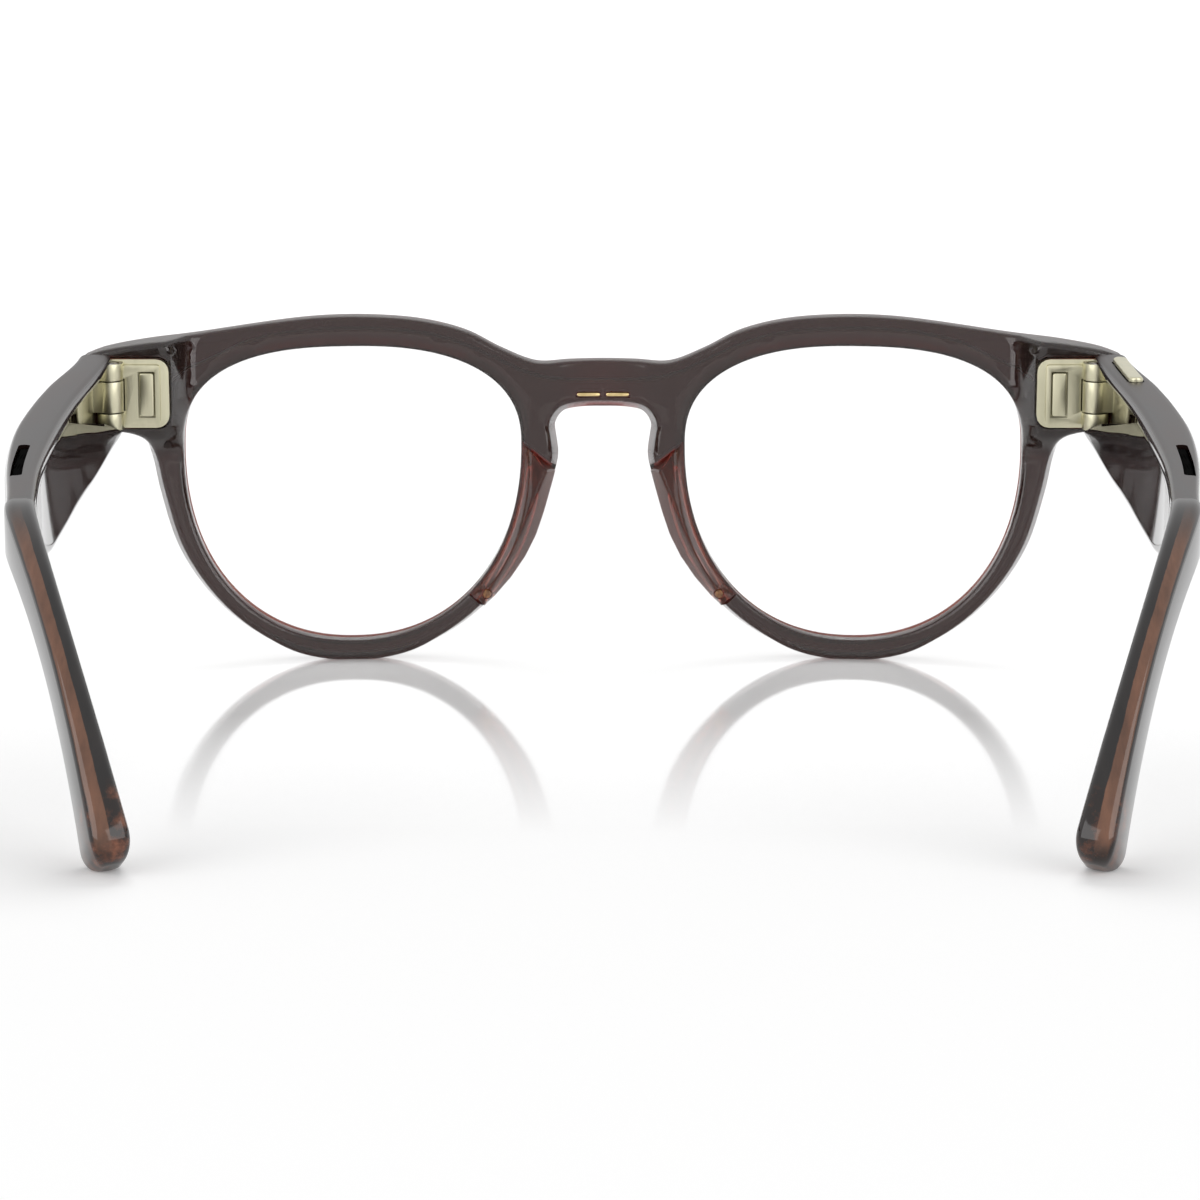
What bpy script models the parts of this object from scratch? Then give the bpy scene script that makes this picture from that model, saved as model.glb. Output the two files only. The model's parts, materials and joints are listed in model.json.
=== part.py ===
"""Smart glasses: a moulded front with two lenses, two folding temples and the electronics inside them.

Lengths are in millimetres until a mesh is made. X points to the wearer's right, Y forwards and Z up, with
the surface that the glasses stand on at Z = 0. While the pieces are drawn, the foot of the bridge's front
face is at Y = 0, and the root empty then centres the whole part.
"""

import math

import bmesh
import bpy
from mathutils import Vector
from mathutils.geometry import delaunay_2d_cdt, intersect_line_line_2d

MM = 0.001
GAP = 0.3
FIT = 0.2
HAIR = 0.05
BITE = 0.4
OVERRUN = 1.0
SQUARE = (0, 0, 0, 0)
FINE_POINTS = 720
LINE_POINTS = 160
BEND_POINTS = 120
FINE_STEPS = 24
SMALL_TURN = 0.01
SHARP_TURN = math.radians(35.0)

# Lenses
LENS_WIDTH = 48.4
LENS_HEIGHT = 42.3
LENS_SHOULDER = 7.0
LENS_BROW_POWER = 2.65
LENS_TOP_POWER = 2.4
LENS_FOOT_POWER = 2.19
LENS_APART = 23.7
LENS_DEPTH = 2.0
LENS_EDGE = 1.5
LENS_BULGE = 1.3
LENS_BEVEL = 0.9
LENS_RINGS = (0.35, 0.7, 1.0)
LENS_POINTS = 52

# Rims
RIM_TOP = 4.5
RIM_TEMPLE = 4.0
RIM_FOOT = 3.0
RIM_NOSE = 4.7
RIM_BRIDGE = 4.3
RIM_FALL = 4
RIM_DIP = 0.45
RIM_DEPTH = 5.0
RIM_ROUND = 0.9
LIP_ROUND = 0.6
GROOVE_DEPTH = 1.2
GROOVE_HALF = 0.9
FOOT_FLAT = 0.12
FRONT_FLARE = 0.75
FLARE_BLEND = 2
FLARE_RISE = 3.0
FRONT_RADIUS = 380.0
FRONT_TILT = math.radians(4.0)
FRONT_POINTS = 124
CORNER_WEIGHT = 5.0
RIM_TOP_TURNS = (138, 124, 110, 96, 82)
RIM_FOOT_TURNS = (350, 334, 318, 302, 286, 270, 254, 238, 222, 206, 190)
PLAN_STEP = 3.2
PLAN_CLEAR = 1.3

# Bridge
BRIDGE_RISE = 19.15
BRIDGE_HEIGHT = 7.0
CROWN = ((0.0, 0.0), (4.8, 0.1), (9.6, 0.3))
KEYHOLE = ((6.5, 6.9), (6.8, 3.9), (6.95, 2.3), (5.8, 0.58), (3.27, 0.0), (0.0, -0.1))

KEYHOLE_HALF = 8.0
SADDLE_HALF = 6.9
SADDLE_DEPTH = 0.8

# Endpieces
END_REACH = 14.35
END_HEIGHT = 11.2
END_ROUND = 1.4
END_ARC_POINTS = 5
END_TOP_TURN = 75
END_FILLET = ((3.85, 1.15), (5.1, 3.85))
END_DEPTH = 8.0
END_STEP = 3.0
END_STEP_OUT = 1.8
END_FADE = 4.0
BROW_FROM = math.radians(58.0)
BROW_SHARES = (0.3, 0.6, 0.85)
BROW_POWER = 2.0

# Hinges
HINGE_RISE = 15.35
HINGE_INSET = 4.6
TEMPLE_SLOPE = math.radians(3.5)
KNUCKLE_RADIUS = 1.9
KNUCKLE_SIDES = 20
SCREW_RADIUS = 0.7
SCREW_FIT = 0.1
SCREW_HEAD_RADIUS = 1.2
SCREW_HEAD_HEIGHT = 0.6
HINGE_HALF = 4.95
MIDDLE_HALF = 2.2
PLATE_WIDTH = 9.6
PLATE_REACH = 1.4
PLATE_ROUND = 1.8
PLATE_THICK = 1.3
PLATE_SINK = 0.7
PLATE_EDGE = 0.4
BLOCK_INSET = 1.2
BLOCK_WIDTH = 5.4
BLOCK_THICK = 0.8
BLOCK_SHORT = 0.7
HINGE_COVER_INSET = 0.9
HINGE_COVER_ROUND = 0.3
HINGE_COVER_WIDTH = 2.0
HINGE_COVER_HEIGHT = 6.2
HINGE_COVER_THICK = 0.8
HINGE_COVER_SINK = 0.5
WEB_WIDTH = 0.9
LEAF_THICK = 0.8
LEAF_LENGTH = 15.0
LEAF_LEAN = 1.0
LEAF_REAR_LOW = 2.9
LEAF_REAR_HIGH = 4.3
LEAF_AHEAD = 0.95
LEAF_ROUND = 1.5
LEAF_WEB = (-1.6, 0.8)

# Temples
TEMPLE_TOP = 5.6
TEMPLE_FOOT = 6.5
TEMPLE_ROUND = 1.4
HINGE_WALL = 1.5
INNER_EDGE = 0.3
TEMPLE_WALL = 1.0
ROOF = 1.1
COVER_THICK = 1.4
COVER_FROM = 36.0
COVER_SHORT = 4.0
COVER_EDGE = 1.6
SWELL = 1.0
SWELL_END = 22.0
SEAM_THICK = 4.0
TAPER_LENGTH = 51.0
FOOT_GROWTH = 1.2
FOOT_START = 5.0
FOOT_END = 30.0
FOOT_FALL = 5.5
FALL_LENGTH = 30.0
SEAM = 97.0
BULKHEAD = 1.3
CAVITY_SHORT = 11.0
RAMP_IN = 0.4
RAMP_END = 42.0
RAMP_REAR = 2.0
RAMP_WALL = 0.6
BOW = ((0.144, 0.45), (0.34, 1.4), (0.536, 1.6), (0.773, 0.8), (1.0, -1.2))
LINE_LEAD = 10.0
TIP_BACK = 130.6
TIP_INSET = 14.95
TIP_FALL = math.radians(61.7)
TIP_TURN = math.radians(27.8)
BEND_START = 6.0
BEND_END = 26.8
TIP_HALF = 4.85
TIP_GROW = 0.18
TIP_THICK = 5.1
TIP_WAIST = 1.24
TIP_ROUND = 3.4
TIP_END_ROUND = 1.6
TIP_CORNER = 1.3
TIP_END_STEPS = (0.72, 0.46, 0.24, 0.1, 0.02)
TIP_FOOT = 0.2
TIP_ROLL = 0.5

# Nose pads
PAD_FROM = math.radians(180.0)
PAD_TO = math.radians(228.0)
PAD_INSET = 0.5
PAD_STEP = 1.8
PAD_FLOOR = 2.7
PAD_SHELF = 4.0
PAD_EDGE = 0.9
PAD_SPREAD = 0.2
PAD_SLOPE = 2.0
PAD_PROUD = 2.2
PAD_CREST = 0.85
PAD_SWELL_POWER = 0.6
PAD_SLANT = 0.13
PAD_SECTIONS = 13
PAD_PIN_RADIUS = 0.6
PAD_PIN_SIDES = 12
PAD_PIN_AT = 0.93

# Pieces in the front
CONTACT_LENGTH = 3.3
CONTACT_HEIGHT = 0.5
CONTACT_SINK = 0.7
CONTACT_PROUD = 0.3
CONTACT_APART = 0.9
CONTACT_RISE = 1.85
WINDOW_RADIUS = 3.5
WINDOW_THICK = 0.8
MODULE_RADIUS = 2.7
MODULE_LENGTH = 3.6
BARREL_RADIUS = 1.7
BARREL_LENGTH = 0.7
LIGHT_BOARD = 1.2
LIGHT_RADIUS = 1.1
LIGHT_HEIGHT = 2.0
BORE_RISE = 0.4
BORE_INSET = 6.4
ROUND_SIDES = 22
FLEX_WIDTH = 1.6
FLEX_THICK = 0.35
FLEX_OUT = 2.4
FLEX_DEPTH = 2.9
FLEX_ENDS = ((0.0, 1.0), (2.5, 2.0))
FLEX_TURNS = (40, 55, 75, 95, 115, 132)
FLEX_MIDDLE = ((9.6, 0.9), (0.0, 0.3))
FLEX_SECTIONS = 40

# Pieces in the temples
BUTTON_FROM = 3.5
BUTTON_LENGTH = 16.5
BUTTON_WIDTH = 2.0
BUTTON_OUT = 0.5
BUTTON_THICK = 0.65
BUTTON_SINK = 0.3
BUTTON_TRAVEL = 0.3
STEM_AT = 18.4
STEM_OUT = 1.1
STEM_LENGTH = 1.4
STEM_WIDTH = 0.8
STEM_DROP = 1.0
SWITCH_LENGTH = 3.6
SWITCH_HEIGHT = 1.2
GRILLE_BEFORE = 33.5
GRILLE_LENGTH = 19.5
GRILLE_WIDTH = 1.5
GRILLE_OUT = 0.85
GRILLE_THICK = 0.6
GRILLE_SINK = 0.5
KNOB_FROM = 38.0
KNOB_LENGTH = 5.0
KNOB_WIDTH = 2.2
KNOB_OUT = 0.2
KNOB_PROUD = 0.35
KNOB_SINK = 0.6
KNOB_TRAVEL = 3.0
KNOB_STEM = 1.2
RIDGE_STEP = 1.1
RIDGE_WIDTH = 0.5
RIDGE_HEIGHT = 0.25
SWITCH_BASE = 2.2
BATTERY_BEFORE = (49.0, 33.0)
CHARGE_BOARD = (25.0, 36.5)
MAIN_BOARD_FROM = 25.0
SHIELD = (38.0, 54.0)
TOUCH_FROM = 26.0
TOUCH_BEFORE = 37.0
SPEAKER_BEFORE = (31.5, 17.0)
MICROPHONE_BEFORE = (16.0, 13.4)
MICROPHONE_HEIGHT = 2.0
BOARD_THICK = 0.8
TOUCH_THICK = 0.35
SHIELD_THICK = 0.9
SHIELD_SHORT = 1.2
SPEAKER_DROP = 1.2
CORE_BEFORE = 10.0
CORE_AFTER = 39.0
CORE_THICK = 1.0
CORE_HALF = 1.1
CORE_OUT = 0.5
CORE_UP = 1.5

# Places worked out from the sizes above
LENS_X = (LENS_WIDTH + LENS_APART) / 2
LENS_Z = RIM_FOOT + LENS_HEIGHT / 2
HINGE_Z = LENS_Z + HINGE_RISE
END_X = LENS_X + LENS_WIDTH / 2 + END_REACH
HINGE_X = END_X - HINGE_INSET
BRIDGE_TOP = LENS_Z + BRIDGE_RISE
KEYHOLE_TOP = BRIDGE_TOP - BRIDGE_HEIGHT
END_TOP = HINGE_Z + END_HEIGHT / 2
END_FOOT = HINGE_Z - END_HEIGHT / 2
AXIS_BACK = KNUCKLE_RADIUS + GAP
END_FACE_Y = HINGE_Z * math.tan(FRONT_TILT) - HINGE_X**2 / (2 * FRONT_RADIUS) - END_DEPTH
HINGE_Y = END_FACE_Y - AXIS_BACK / math.cos(TEMPLE_SLOPE)
LEAF_X = KNUCKLE_RADIUS + GAP
POCKET_X = LEAF_X + LEAF_THICK + GAP
POCKET_HALF = HINGE_HALF + FIT
OUTER_X = POCKET_X + HINGE_WALL
PATH_X = (OUTER_X - INNER_EDGE) / 2
FRONT_THICK = OUTER_X + INNER_EDGE
TEMPLE_FRONT = GAP - AXIS_BACK
POCKET_END = LEAF_LENGTH + GAP
POCKET_LOW = LEAF_REAR_LOW + FIT
POCKET_HIGH = LEAF_REAR_HIGH + FIT
CAVITY_FROM = POCKET_END + BULKHEAD
CAVITY_TOP = TEMPLE_TOP - ROOF
BORE_X = END_X - BORE_INSET
BORE_Z = HINGE_Z + BORE_RISE
TAPER_START = SEAM - TAPER_LENGTH
FALL_START = SEAM - FALL_LENGTH
CAVITY_END = SEAM - CAVITY_SHORT
GRILLE_FROM = SEAM - GRILLE_BEFORE
BATTERY = tuple(SEAM - before for before in BATTERY_BEFORE)
SPEAKER = tuple(SEAM - before for before in SPEAKER_BEFORE)
MICROPHONE = tuple(SEAM - before for before in MICROPHONE_BEFORE)
MAIN_BOARD = (MAIN_BOARD_FROM, BATTERY[1])
TOUCH = (TOUCH_FROM, SEAM - TOUCH_BEFORE)
CORE_FROM = SEAM - CORE_BEFORE
CORE_TO = SEAM + CORE_AFTER

FORWARD = Vector((0, math.cos(TEMPLE_SLOPE), math.sin(TEMPLE_SLOPE)))
UPWARD = Vector((0, -math.sin(TEMPLE_SLOPE), math.cos(TEMPLE_SLOPE)))

COLOURS = {
    "frame_plastic": ((0.045, 0.035, 0.033), 0.16, 0.0),
    "tip_plastic": ((0.10, 0.055, 0.045), 0.18, 0.0),
    "cover_plastic": ((0.03, 0.026, 0.026), 0.2, 0.0),
    "lens_clear": ((0.9, 0.92, 0.93), 0.03, 0.0),
    "pad_plastic": ((0.12, 0.08, 0.065), 0.3, 0.0),
    "hinge_metal": ((0.72, 0.64, 0.52), 0.28, 1.0),
    "gold_contact": ((0.85, 0.62, 0.30), 0.2, 1.0),
    "screw_steel": ((0.55, 0.54, 0.52), 0.3, 1.0),
    "window_glass": ((0.02, 0.02, 0.022), 0.05, 0.0),
    "black_plastic": ((0.02, 0.02, 0.02), 0.5, 0.0),
    "board_green": ((0.03, 0.12, 0.06), 0.5, 0.0),
    "flex_amber": ((0.5, 0.25, 0.06), 0.4, 0.0),
    "cell_silver": ((0.6, 0.6, 0.62), 0.4, 1.0),
}


def material(name):
    """The named material, made when it is first asked for."""
    found = bpy.data.materials.get(name)
    if found:
        return found
    colour, roughness, metallic = COLOURS[name]
    made = bpy.data.materials.new(name)
    made.use_nodes = True
    shader = made.node_tree.nodes["Principled BSDF"]
    shader.inputs["Base Color"].default_value = (*colour, 1)
    shader.inputs["Roughness"].default_value = roughness
    shader.inputs["Metallic"].default_value = metallic
    made.diffuse_color = (*colour, 1)
    return made


class Shape:
    """Corners and faces of a closed surface, gathered ring by ring."""

    def __init__(self):
        self.points = []
        self.faces = []

    def ring(self, points):
        start = len(self.points)
        self.points.extend(points)
        return range(start, len(self.points))

    def band(self, first, second):
        count = len(first)
        for i in range(count):
            j = (i + 1) % count
            self.faces.append((first[i], first[j], second[j], second[i]))

    def loft(self, rings, middles=None):
        """A solid through rings of equal count, closed at its ends by faces or by fans about two middles."""
        made = [self.ring(points) for points in rings]
        for first, second in zip(made, made[1:]):
            self.band(first, second)
        for k, end in enumerate((made[0], made[-1])):
            if not middles:
                self.faces.append(tuple(end))
                continue
            hub = self.ring([middles[k]])[0]
            self.faces.extend((end[i - 1], end[i], hub) for i in range(len(end)))
        return self


def solid(name, shape, finish, parent):
    """A mesh object of the shape, with its origin at its parent's."""
    mesh = bpy.data.meshes.new(name)
    origin = Vector(parent["at"])
    mesh.from_pydata([(p - origin) * MM for p in shape.points], [], shape.faces)
    form = bmesh.new()
    form.from_mesh(mesh)
    bmesh.ops.recalc_face_normals(form, faces=form.faces)
    form.to_mesh(mesh)
    form.free()
    mesh.shade_smooth()
    mesh.set_sharp_from_angle(angle=SHARP_TURN)
    made = bpy.data.objects.new(name, mesh)
    made.parent = parent
    bpy.context.scene.collection.objects.link(made)
    if finish:
        mesh.materials.append(material(finish))
    return made


def change(target, operation, shape, label, parent):
    """Adds the shape to the target, or cuts it out, with a Boolean and a hidden helper."""
    helper = solid(f"{target.name}_{label}", shape, None, parent)
    helper.hide_render = True
    helper.display_type = "WIRE"
    step = target.modifiers.new(label, "BOOLEAN")
    step.operation = operation
    step.solver = "EXACT"
    step.object = helper


def cut(target, shape, label, parent):
    change(target, "DIFFERENCE", shape, label, parent)


def join(target, shape, label, parent):
    change(target, "UNION", shape, label, parent)


def empty(name, at, parent=None):
    """An empty at a point of the drawing, which carries the pieces of one body."""
    made = bpy.data.objects.new(name, None)
    made["at"] = tuple(at)
    made.parent = parent
    made.location = (Vector(at) - Vector(parent["at"] if parent else (0, 0, 0))) * MM
    bpy.context.scene.collection.objects.link(made)
    return made


def ease(x):
    """0 below 0, 1 above 1, and a smooth rise between."""
    x = min(max(x, 0.0), 1.0)
    return x * x * (3 - 2 * x)


def curve_point(p0, p1, p2, p3, t):
    """A point between p1 and p2 on a smooth curve through four points."""
    t1 = (p1 - p0).length ** 0.5
    t2 = t1 + (p2 - p1).length ** 0.5
    t3 = t2 + (p3 - p2).length ** 0.5
    t = t1 + (t2 - t1) * t
    a1 = p0.lerp(p1, t / t1)
    a2 = p1.lerp(p2, (t - t1) / (t2 - t1))
    a3 = p2.lerp(p3, (t - t2) / (t3 - t2))
    b1 = a1.lerp(a2, t / t2)
    b2 = a2.lerp(a3, (t - t1) / (t3 - t1))
    return b1.lerp(b2, (t - t1) / (t2 - t1))


def smooth(points, closed, steps=12):
    """Fine points on a smooth curve through the given ones."""
    count = len(points)
    last = count if closed else count - 1
    if not closed:
        points = points + [2 * points[-1] - points[-2], 2 * points[0] - points[1]]
    fine = []
    for i in range(last):
        near = [points[(i + k) % len(points)] for k in (-1, 0, 1, 2)]
        fine.extend(curve_point(*near, j / steps) for j in range(steps))
    if not closed:
        fine.append(points[count - 1])
    return fine


def spaced(fine, count, closed, corner_weight=0.0):
    """Points spaced along a line of fine ones: evenly, or closer together where the line turns."""
    line = fine + fine[:1] if closed else fine
    reach = [0.0]
    for i, (a, b) in enumerate(zip(line, line[1:])):
        step = (b - a).length
        if corner_weight:
            step += corner_weight * abs((b - a).angle_signed(line[i] - line[i - 1] if i else b - a))
        reach.append(reach[-1] + step)
    parts = count if closed else count - 1
    found = []
    at = 0
    for k in range(count):
        goal = reach[-1] * k / parts
        while at < len(line) - 2 and reach[at + 1] < goal:
            at += 1
        share = (goal - reach[at]) / (reach[at + 1] - reach[at])
        found.append(line[at].lerp(line[at + 1], share))
    return found


def outward(loop, i):
    """The outward normal at a corner of an anticlockwise loop."""
    along = loop[(i + 1) % len(loop)] - loop[i - 1]
    return Vector((along.y, -along.x)).normalized()


def grown(loop, distance, extra=None):
    """The loop moved outwards by a distance, and by an extra one of its own at each corner."""
    extra = extra or [0.0] * len(loop)
    return [p + outward(loop, i) * (distance + extra[i]) for i, p in enumerate(loop)]


def inside(point, loop):
    """Whether a point of the plane lies inside a closed loop."""
    found = False
    for a, b in zip(loop, loop[1:] + loop[:1]):
        if (a.y > point.y) != (b.y > point.y):
            if point.x < a.x + (point.y - a.y) / (b.y - a.y) * (b.x - a.x):
                found = not found
    return found


def rounded(x0, x1, z0, z1, radii, steps=3):
    """A rectangle with a corner radius each at low-low, high-low, high-high and low-high, anticlockwise."""
    corners = ((x0, z0, 180), (x1, z0, 270), (x1, z1, 0), (x0, z1, 90))
    points = []
    for (x, z, start), radius in zip(corners, radii):
        if not radius:
            points.append(Vector((x, z)))
            continue
        centre = Vector((x + (radius if x == x0 else -radius), z + (radius if z == z0 else -radius)))
        for k in range(steps + 1):
            turn = math.radians(start + 90 * k / steps)
            points.append(centre + Vector((math.cos(turn), math.sin(turn))) * radius)
    return points


def arc(x, z, radius, start, end, count):
    """Points of a circle between two directions in degrees."""
    turns = [math.radians(start + (end - start) * k / (count - 1)) for k in range(count)]
    return [Vector((x + radius * math.cos(t), z + radius * math.sin(t))) for t in turns]


def circle(x, z, radius, sides=ROUND_SIDES):
    turns = [2 * math.pi * k / sides for k in range(sides)]
    return [Vector((x + radius * math.cos(t), z + radius * math.sin(t))) for t in turns]


def lens_point(turn):
    """A point of the lens outline, about the lens centre: superellipses that meet at the shoulder and top."""
    c, s = math.cos(turn), math.sin(turn)
    height = LENS_HEIGHT / 2 + LENS_SHOULDER
    power = LENS_FOOT_POWER
    if s >= 0:
        height = LENS_HEIGHT / 2 - LENS_SHOULDER
        power = LENS_BROW_POWER if c > 0 else LENS_TOP_POWER
    x = LENS_WIDTH / 2 * math.copysign(abs(c) ** (2 / power), c)
    return Vector((x, LENS_SHOULDER + height * math.copysign(abs(s) ** (2 / power), s)))


def lens_loop(count):
    """The right lens opening, anticlockwise, with its centre in place."""
    fine = [lens_point(2 * math.pi * k / FINE_POINTS) for k in range(FINE_POINTS)]
    centre = Vector((LENS_X, LENS_Z))
    return [p + centre for p in spaced(fine, count, True)]


def lens_edge(turn):
    """A point of the lens opening and the outward normal there."""
    here = lens_point(turn)
    along = lens_point(turn + SMALL_TURN) - lens_point(turn - SMALL_TURN)
    return here + Vector((LENS_X, LENS_Z)), Vector((along.y, -along.x)).normalized()


def rim_width(turn):
    """The rim's width by direction: temple side at 0, top, nose side and foot each a quarter on."""
    c, s = math.cos(turn), math.sin(turn)
    if s >= 0:
        side = RIM_TEMPLE if c >= 0 else RIM_BRIDGE
        return side * c * c + RIM_TOP * s * s
    side = RIM_TEMPLE if c >= 0 else RIM_NOSE
    return RIM_FOOT + (side - RIM_FOOT) * c**RIM_FALL - RIM_DIP * math.sin(2 * turn) ** 2


def rim_points(degrees):
    """Points of the rim's outer edge at the given directions."""
    found = []
    for turn in map(math.radians, degrees):
        edge, normal = lens_edge(turn)
        found.append(edge + normal * rim_width(turn))
    return found


def front_outline():
    """The outer edge of the front, anticlockwise from the top of the bridge."""
    brow_start = rim_points([math.degrees(BROW_FROM)])[0]
    brow = []
    for share in BROW_SHARES:
        x = brow_start.x + (END_X - brow_start.x) * share
        brow.append(Vector((x, brow_start.y + (END_TOP - brow_start.y) * share**BROW_POWER)))
    r = END_ROUND
    end = arc(END_X - r, END_TOP - r, r, END_TOP_TURN, 0, END_ARC_POINTS)
    end += arc(END_X - r, END_FOOT + r, r, 0, -90, END_ARC_POINTS)
    end.append(Vector((HINGE_X, END_FOOT)))
    end += [Vector((HINGE_X - back, END_FOOT - down)) for back, down in END_FILLET]
    crown = [Vector((x, BRIDGE_TOP - down)) for x, down in CROWN]
    keyhole = [Vector((x, KEYHOLE_TOP - down)) for x, down in KEYHOLE]
    half = crown + rim_points(RIM_TOP_TURNS) + brow + end
    half += rim_points(RIM_FOOT_TURNS) + keyhole
    loop = [Vector((-p.x, p.y)) for p in half] + half[-2:0:-1]
    fine = smooth(loop, True)
    left = spaced(fine[:len(fine) // 2 + 1], FRONT_POINTS // 2 + 1, False, CORNER_WEIGHT)
    lowest = min(p.y for p in left)
    left = [Vector((p.x, max(p.y - lowest - FOOT_FLAT, 0.0))) for p in left]
    return left + mirrored_loop(left[1:-1])


def front_y(x, z):
    """The front face: tilted, and curved back towards the temples."""
    return z * math.tan(FRONT_TILT) - x * x / (2 * FRONT_RADIUS)


def end_face_y(z):
    """The flat rear face of an endpiece, square to the temple."""
    return END_FACE_Y - (z - HINGE_Z) * math.tan(TEMPLE_SLOPE)


def back_y(x, z):
    """The rear face: an even depth behind the front, scooped at the bridge and deeper at the endpieces."""
    saddle = max(1 - (x / SADDLE_HALF) ** 2, 0.0) if z > KEYHOLE_TOP - OVERRUN else 0.0
    rim = front_y(x, z) - RIM_DEPTH + SADDLE_DEPTH * saddle
    step_end = LENS_X + LENS_WIDTH / 2 + END_STEP_OUT
    share = ease((abs(x) - step_end) / END_STEP + 1) * ease((z - END_FOOT) / END_FADE + 1)
    return rim + (end_face_y(z) - rim) * share


def from_front(p, depth):
    return Vector((p.x, front_y(p.x, p.y) - depth, p.y))


def from_back(p, depth):
    return Vector((p.x, back_y(p.x, p.y) + depth, p.y))


def mirrored_loop(loop):
    """The same loop on the other side, still anticlockwise."""
    return [Vector((-p.x, p.y)) for p in loop[::-1]]


def flare_share(p, normal):
    """How much of the flare a point of the outline takes: none on top, at the foot or at the endpieces."""
    if abs(p.x) < KEYHOLE_HALF and p.y < BRIDGE_TOP - BRIDGE_HEIGHT / 2:
        return 1.0
    if normal.y > 0 or (abs(p.x) > LENS_X and p.y > END_FOOT):
        return 0.0
    return abs(normal.x)


def flare(outline):
    """How far the rear edge stands in from the front one at each point, fading out towards the foot."""
    shares = [flare_share(p, outward(outline, i)) for i, p in enumerate(outline)]
    count, reach = len(shares), range(-FLARE_BLEND, FLARE_BLEND + 1)
    found = []
    for i, p in enumerate(outline):
        share = sum(shares[(i + k) % count] for k in reach) / len(reach)
        found.append(FRONT_FLARE * share * ease(p.y / FLARE_RISE))
    return found


def front_shape(outline, lenses):
    """The front as one solid: outer wall, two grooved lens openings and two faces triangulated alike."""
    shape = Shape()
    third = 1 - math.cos(math.radians(45))
    plan, plan_front, plan_back = [], [], []

    def wall(loop, sign, rows, face_inset, lean=None):
        rings = []
        for inset, place, depth in rows:
            moved = grown(loop, -sign * inset, lean if place is from_back else None)
            rings.append(shape.ring([place(p, depth) for p in moved]))
        for first, second in zip(rings, rings[1:]):
            shape.band(first, second)
        plan.append(grown(loop, -sign * face_inset))
        plan_front.extend(rings[0])
        plan_back.extend(rings[-1])

    r = RIM_ROUND
    wall(outline, 1, (
        (r, from_front, 0), (r * third, from_front, r * third), (0, from_front, r),
        (0, from_back, r), (r * third, from_back, r * third), (r, from_back, 0),
    ), r, [-lean for lean in flare(outline)])
    for loop in lenses:
        wall(loop, -1, (
            (LIP_ROUND, from_front, 0), (0, from_front, LIP_ROUND),
            (0, from_front, LENS_DEPTH - GROOVE_HALF), (GROOVE_DEPTH, from_front, LENS_DEPTH),
            (0, from_front, LENS_DEPTH + GROOVE_HALF),
            (0, from_back, LIP_ROUND), (LIP_ROUND, from_back, 0),
        ), LIP_ROUND)

    edges, corners = [], []
    for loop in plan:
        start = len(corners)
        corners.extend(loop)
        edges.extend((start + i, start + (i + 1) % len(loop)) for i in range(len(loop)))
    reach = int(END_X / PLAN_STEP) + 1
    for i in range(-reach, reach + 1):
        for k in range(1, int((LENS_HEIGHT + RIM_TOP + RIM_FOOT) / PLAN_STEP) + 1):
            p = Vector((i * PLAN_STEP, k * PLAN_STEP))
            if min((p - q).length for q in corners) < PLAN_CLEAR:
                continue
            if inside(p, plan[0]) and not any(inside(p, loop) for loop in plan[1:]):
                corners.append(p)
                plan_front.extend(shape.ring([from_front(p, 0)]))
                plan_back.extend(shape.ring([from_back(p, 0)]))
    found = delaunay_2d_cdt(corners, edges, [], 0, 1e-6)
    flat, triangles, origins = found[0], found[2], found[3]
    for face in triangles:
        middle = (flat[face[0]] + flat[face[1]] + flat[face[2]]) / 3
        if not inside(middle, plan[0]) or any(inside(middle, loop) for loop in plan[1:]):
            continue
        ids = [origins[k][0] for k in face]
        shape.faces.append(tuple(plan_front[k] for k in ids))
        shape.faces.append(tuple(plan_back[k] for k in reversed(ids)))
    return shape


def lens_shape(loop):
    """A curved lens with a bevelled edge that stands in the rim's groove."""
    shape = Shape()
    centre = Vector((sum(p.x for p in loop), sum(p.y for p in loop))) / len(loop)
    half = LENS_EDGE / 2
    edge = grown(loop, -GAP)
    rings = []
    for share in LENS_RINGS:
        swell = LENS_BULGE * (1 - share * share)
        rings.append([from_front(centre.lerp(p, share), LENS_DEPTH - half - swell) for p in edge])
    rings.append([from_front(p, LENS_DEPTH) for p in grown(loop, LENS_BEVEL - GAP / 2)])
    for share in LENS_RINGS[::-1]:
        swell = LENS_BULGE * (1 - share * share)
        rings.append([from_front(centre.lerp(p, share), LENS_DEPTH + half - swell) for p in edge])
    return shape.loft(rings)


def prism(outline, place, low, high):
    """An outline pushed along the third direction of a placing function."""
    return Shape().loft([[place(p.x, p.y, d) for p in outline] for d in (low, high)])


def front_place(side):
    """Across, up and depth behind the front face, on one side of the front."""
    return lambda x, z, depth: Vector((side * x, front_y(x, z) - depth, z))


def bore_place(side):
    """As front_place, but square to the front face at the middle of the bore."""
    face = front_y(BORE_X, BORE_Z)
    return lambda x, z, depth: Vector((side * x, face - depth, z))


def hinge_place(side):
    """Outwards, forwards and up from the hinge axis."""
    centre = Vector((HINGE_X, HINGE_Y, HINGE_Z))

    def place(x, y, z):
        p = centre + Vector((x, 0, 0)) + FORWARD * y + UPWARD * z
        return Vector((side * p.x, p.y, p.z))

    return place


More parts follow.
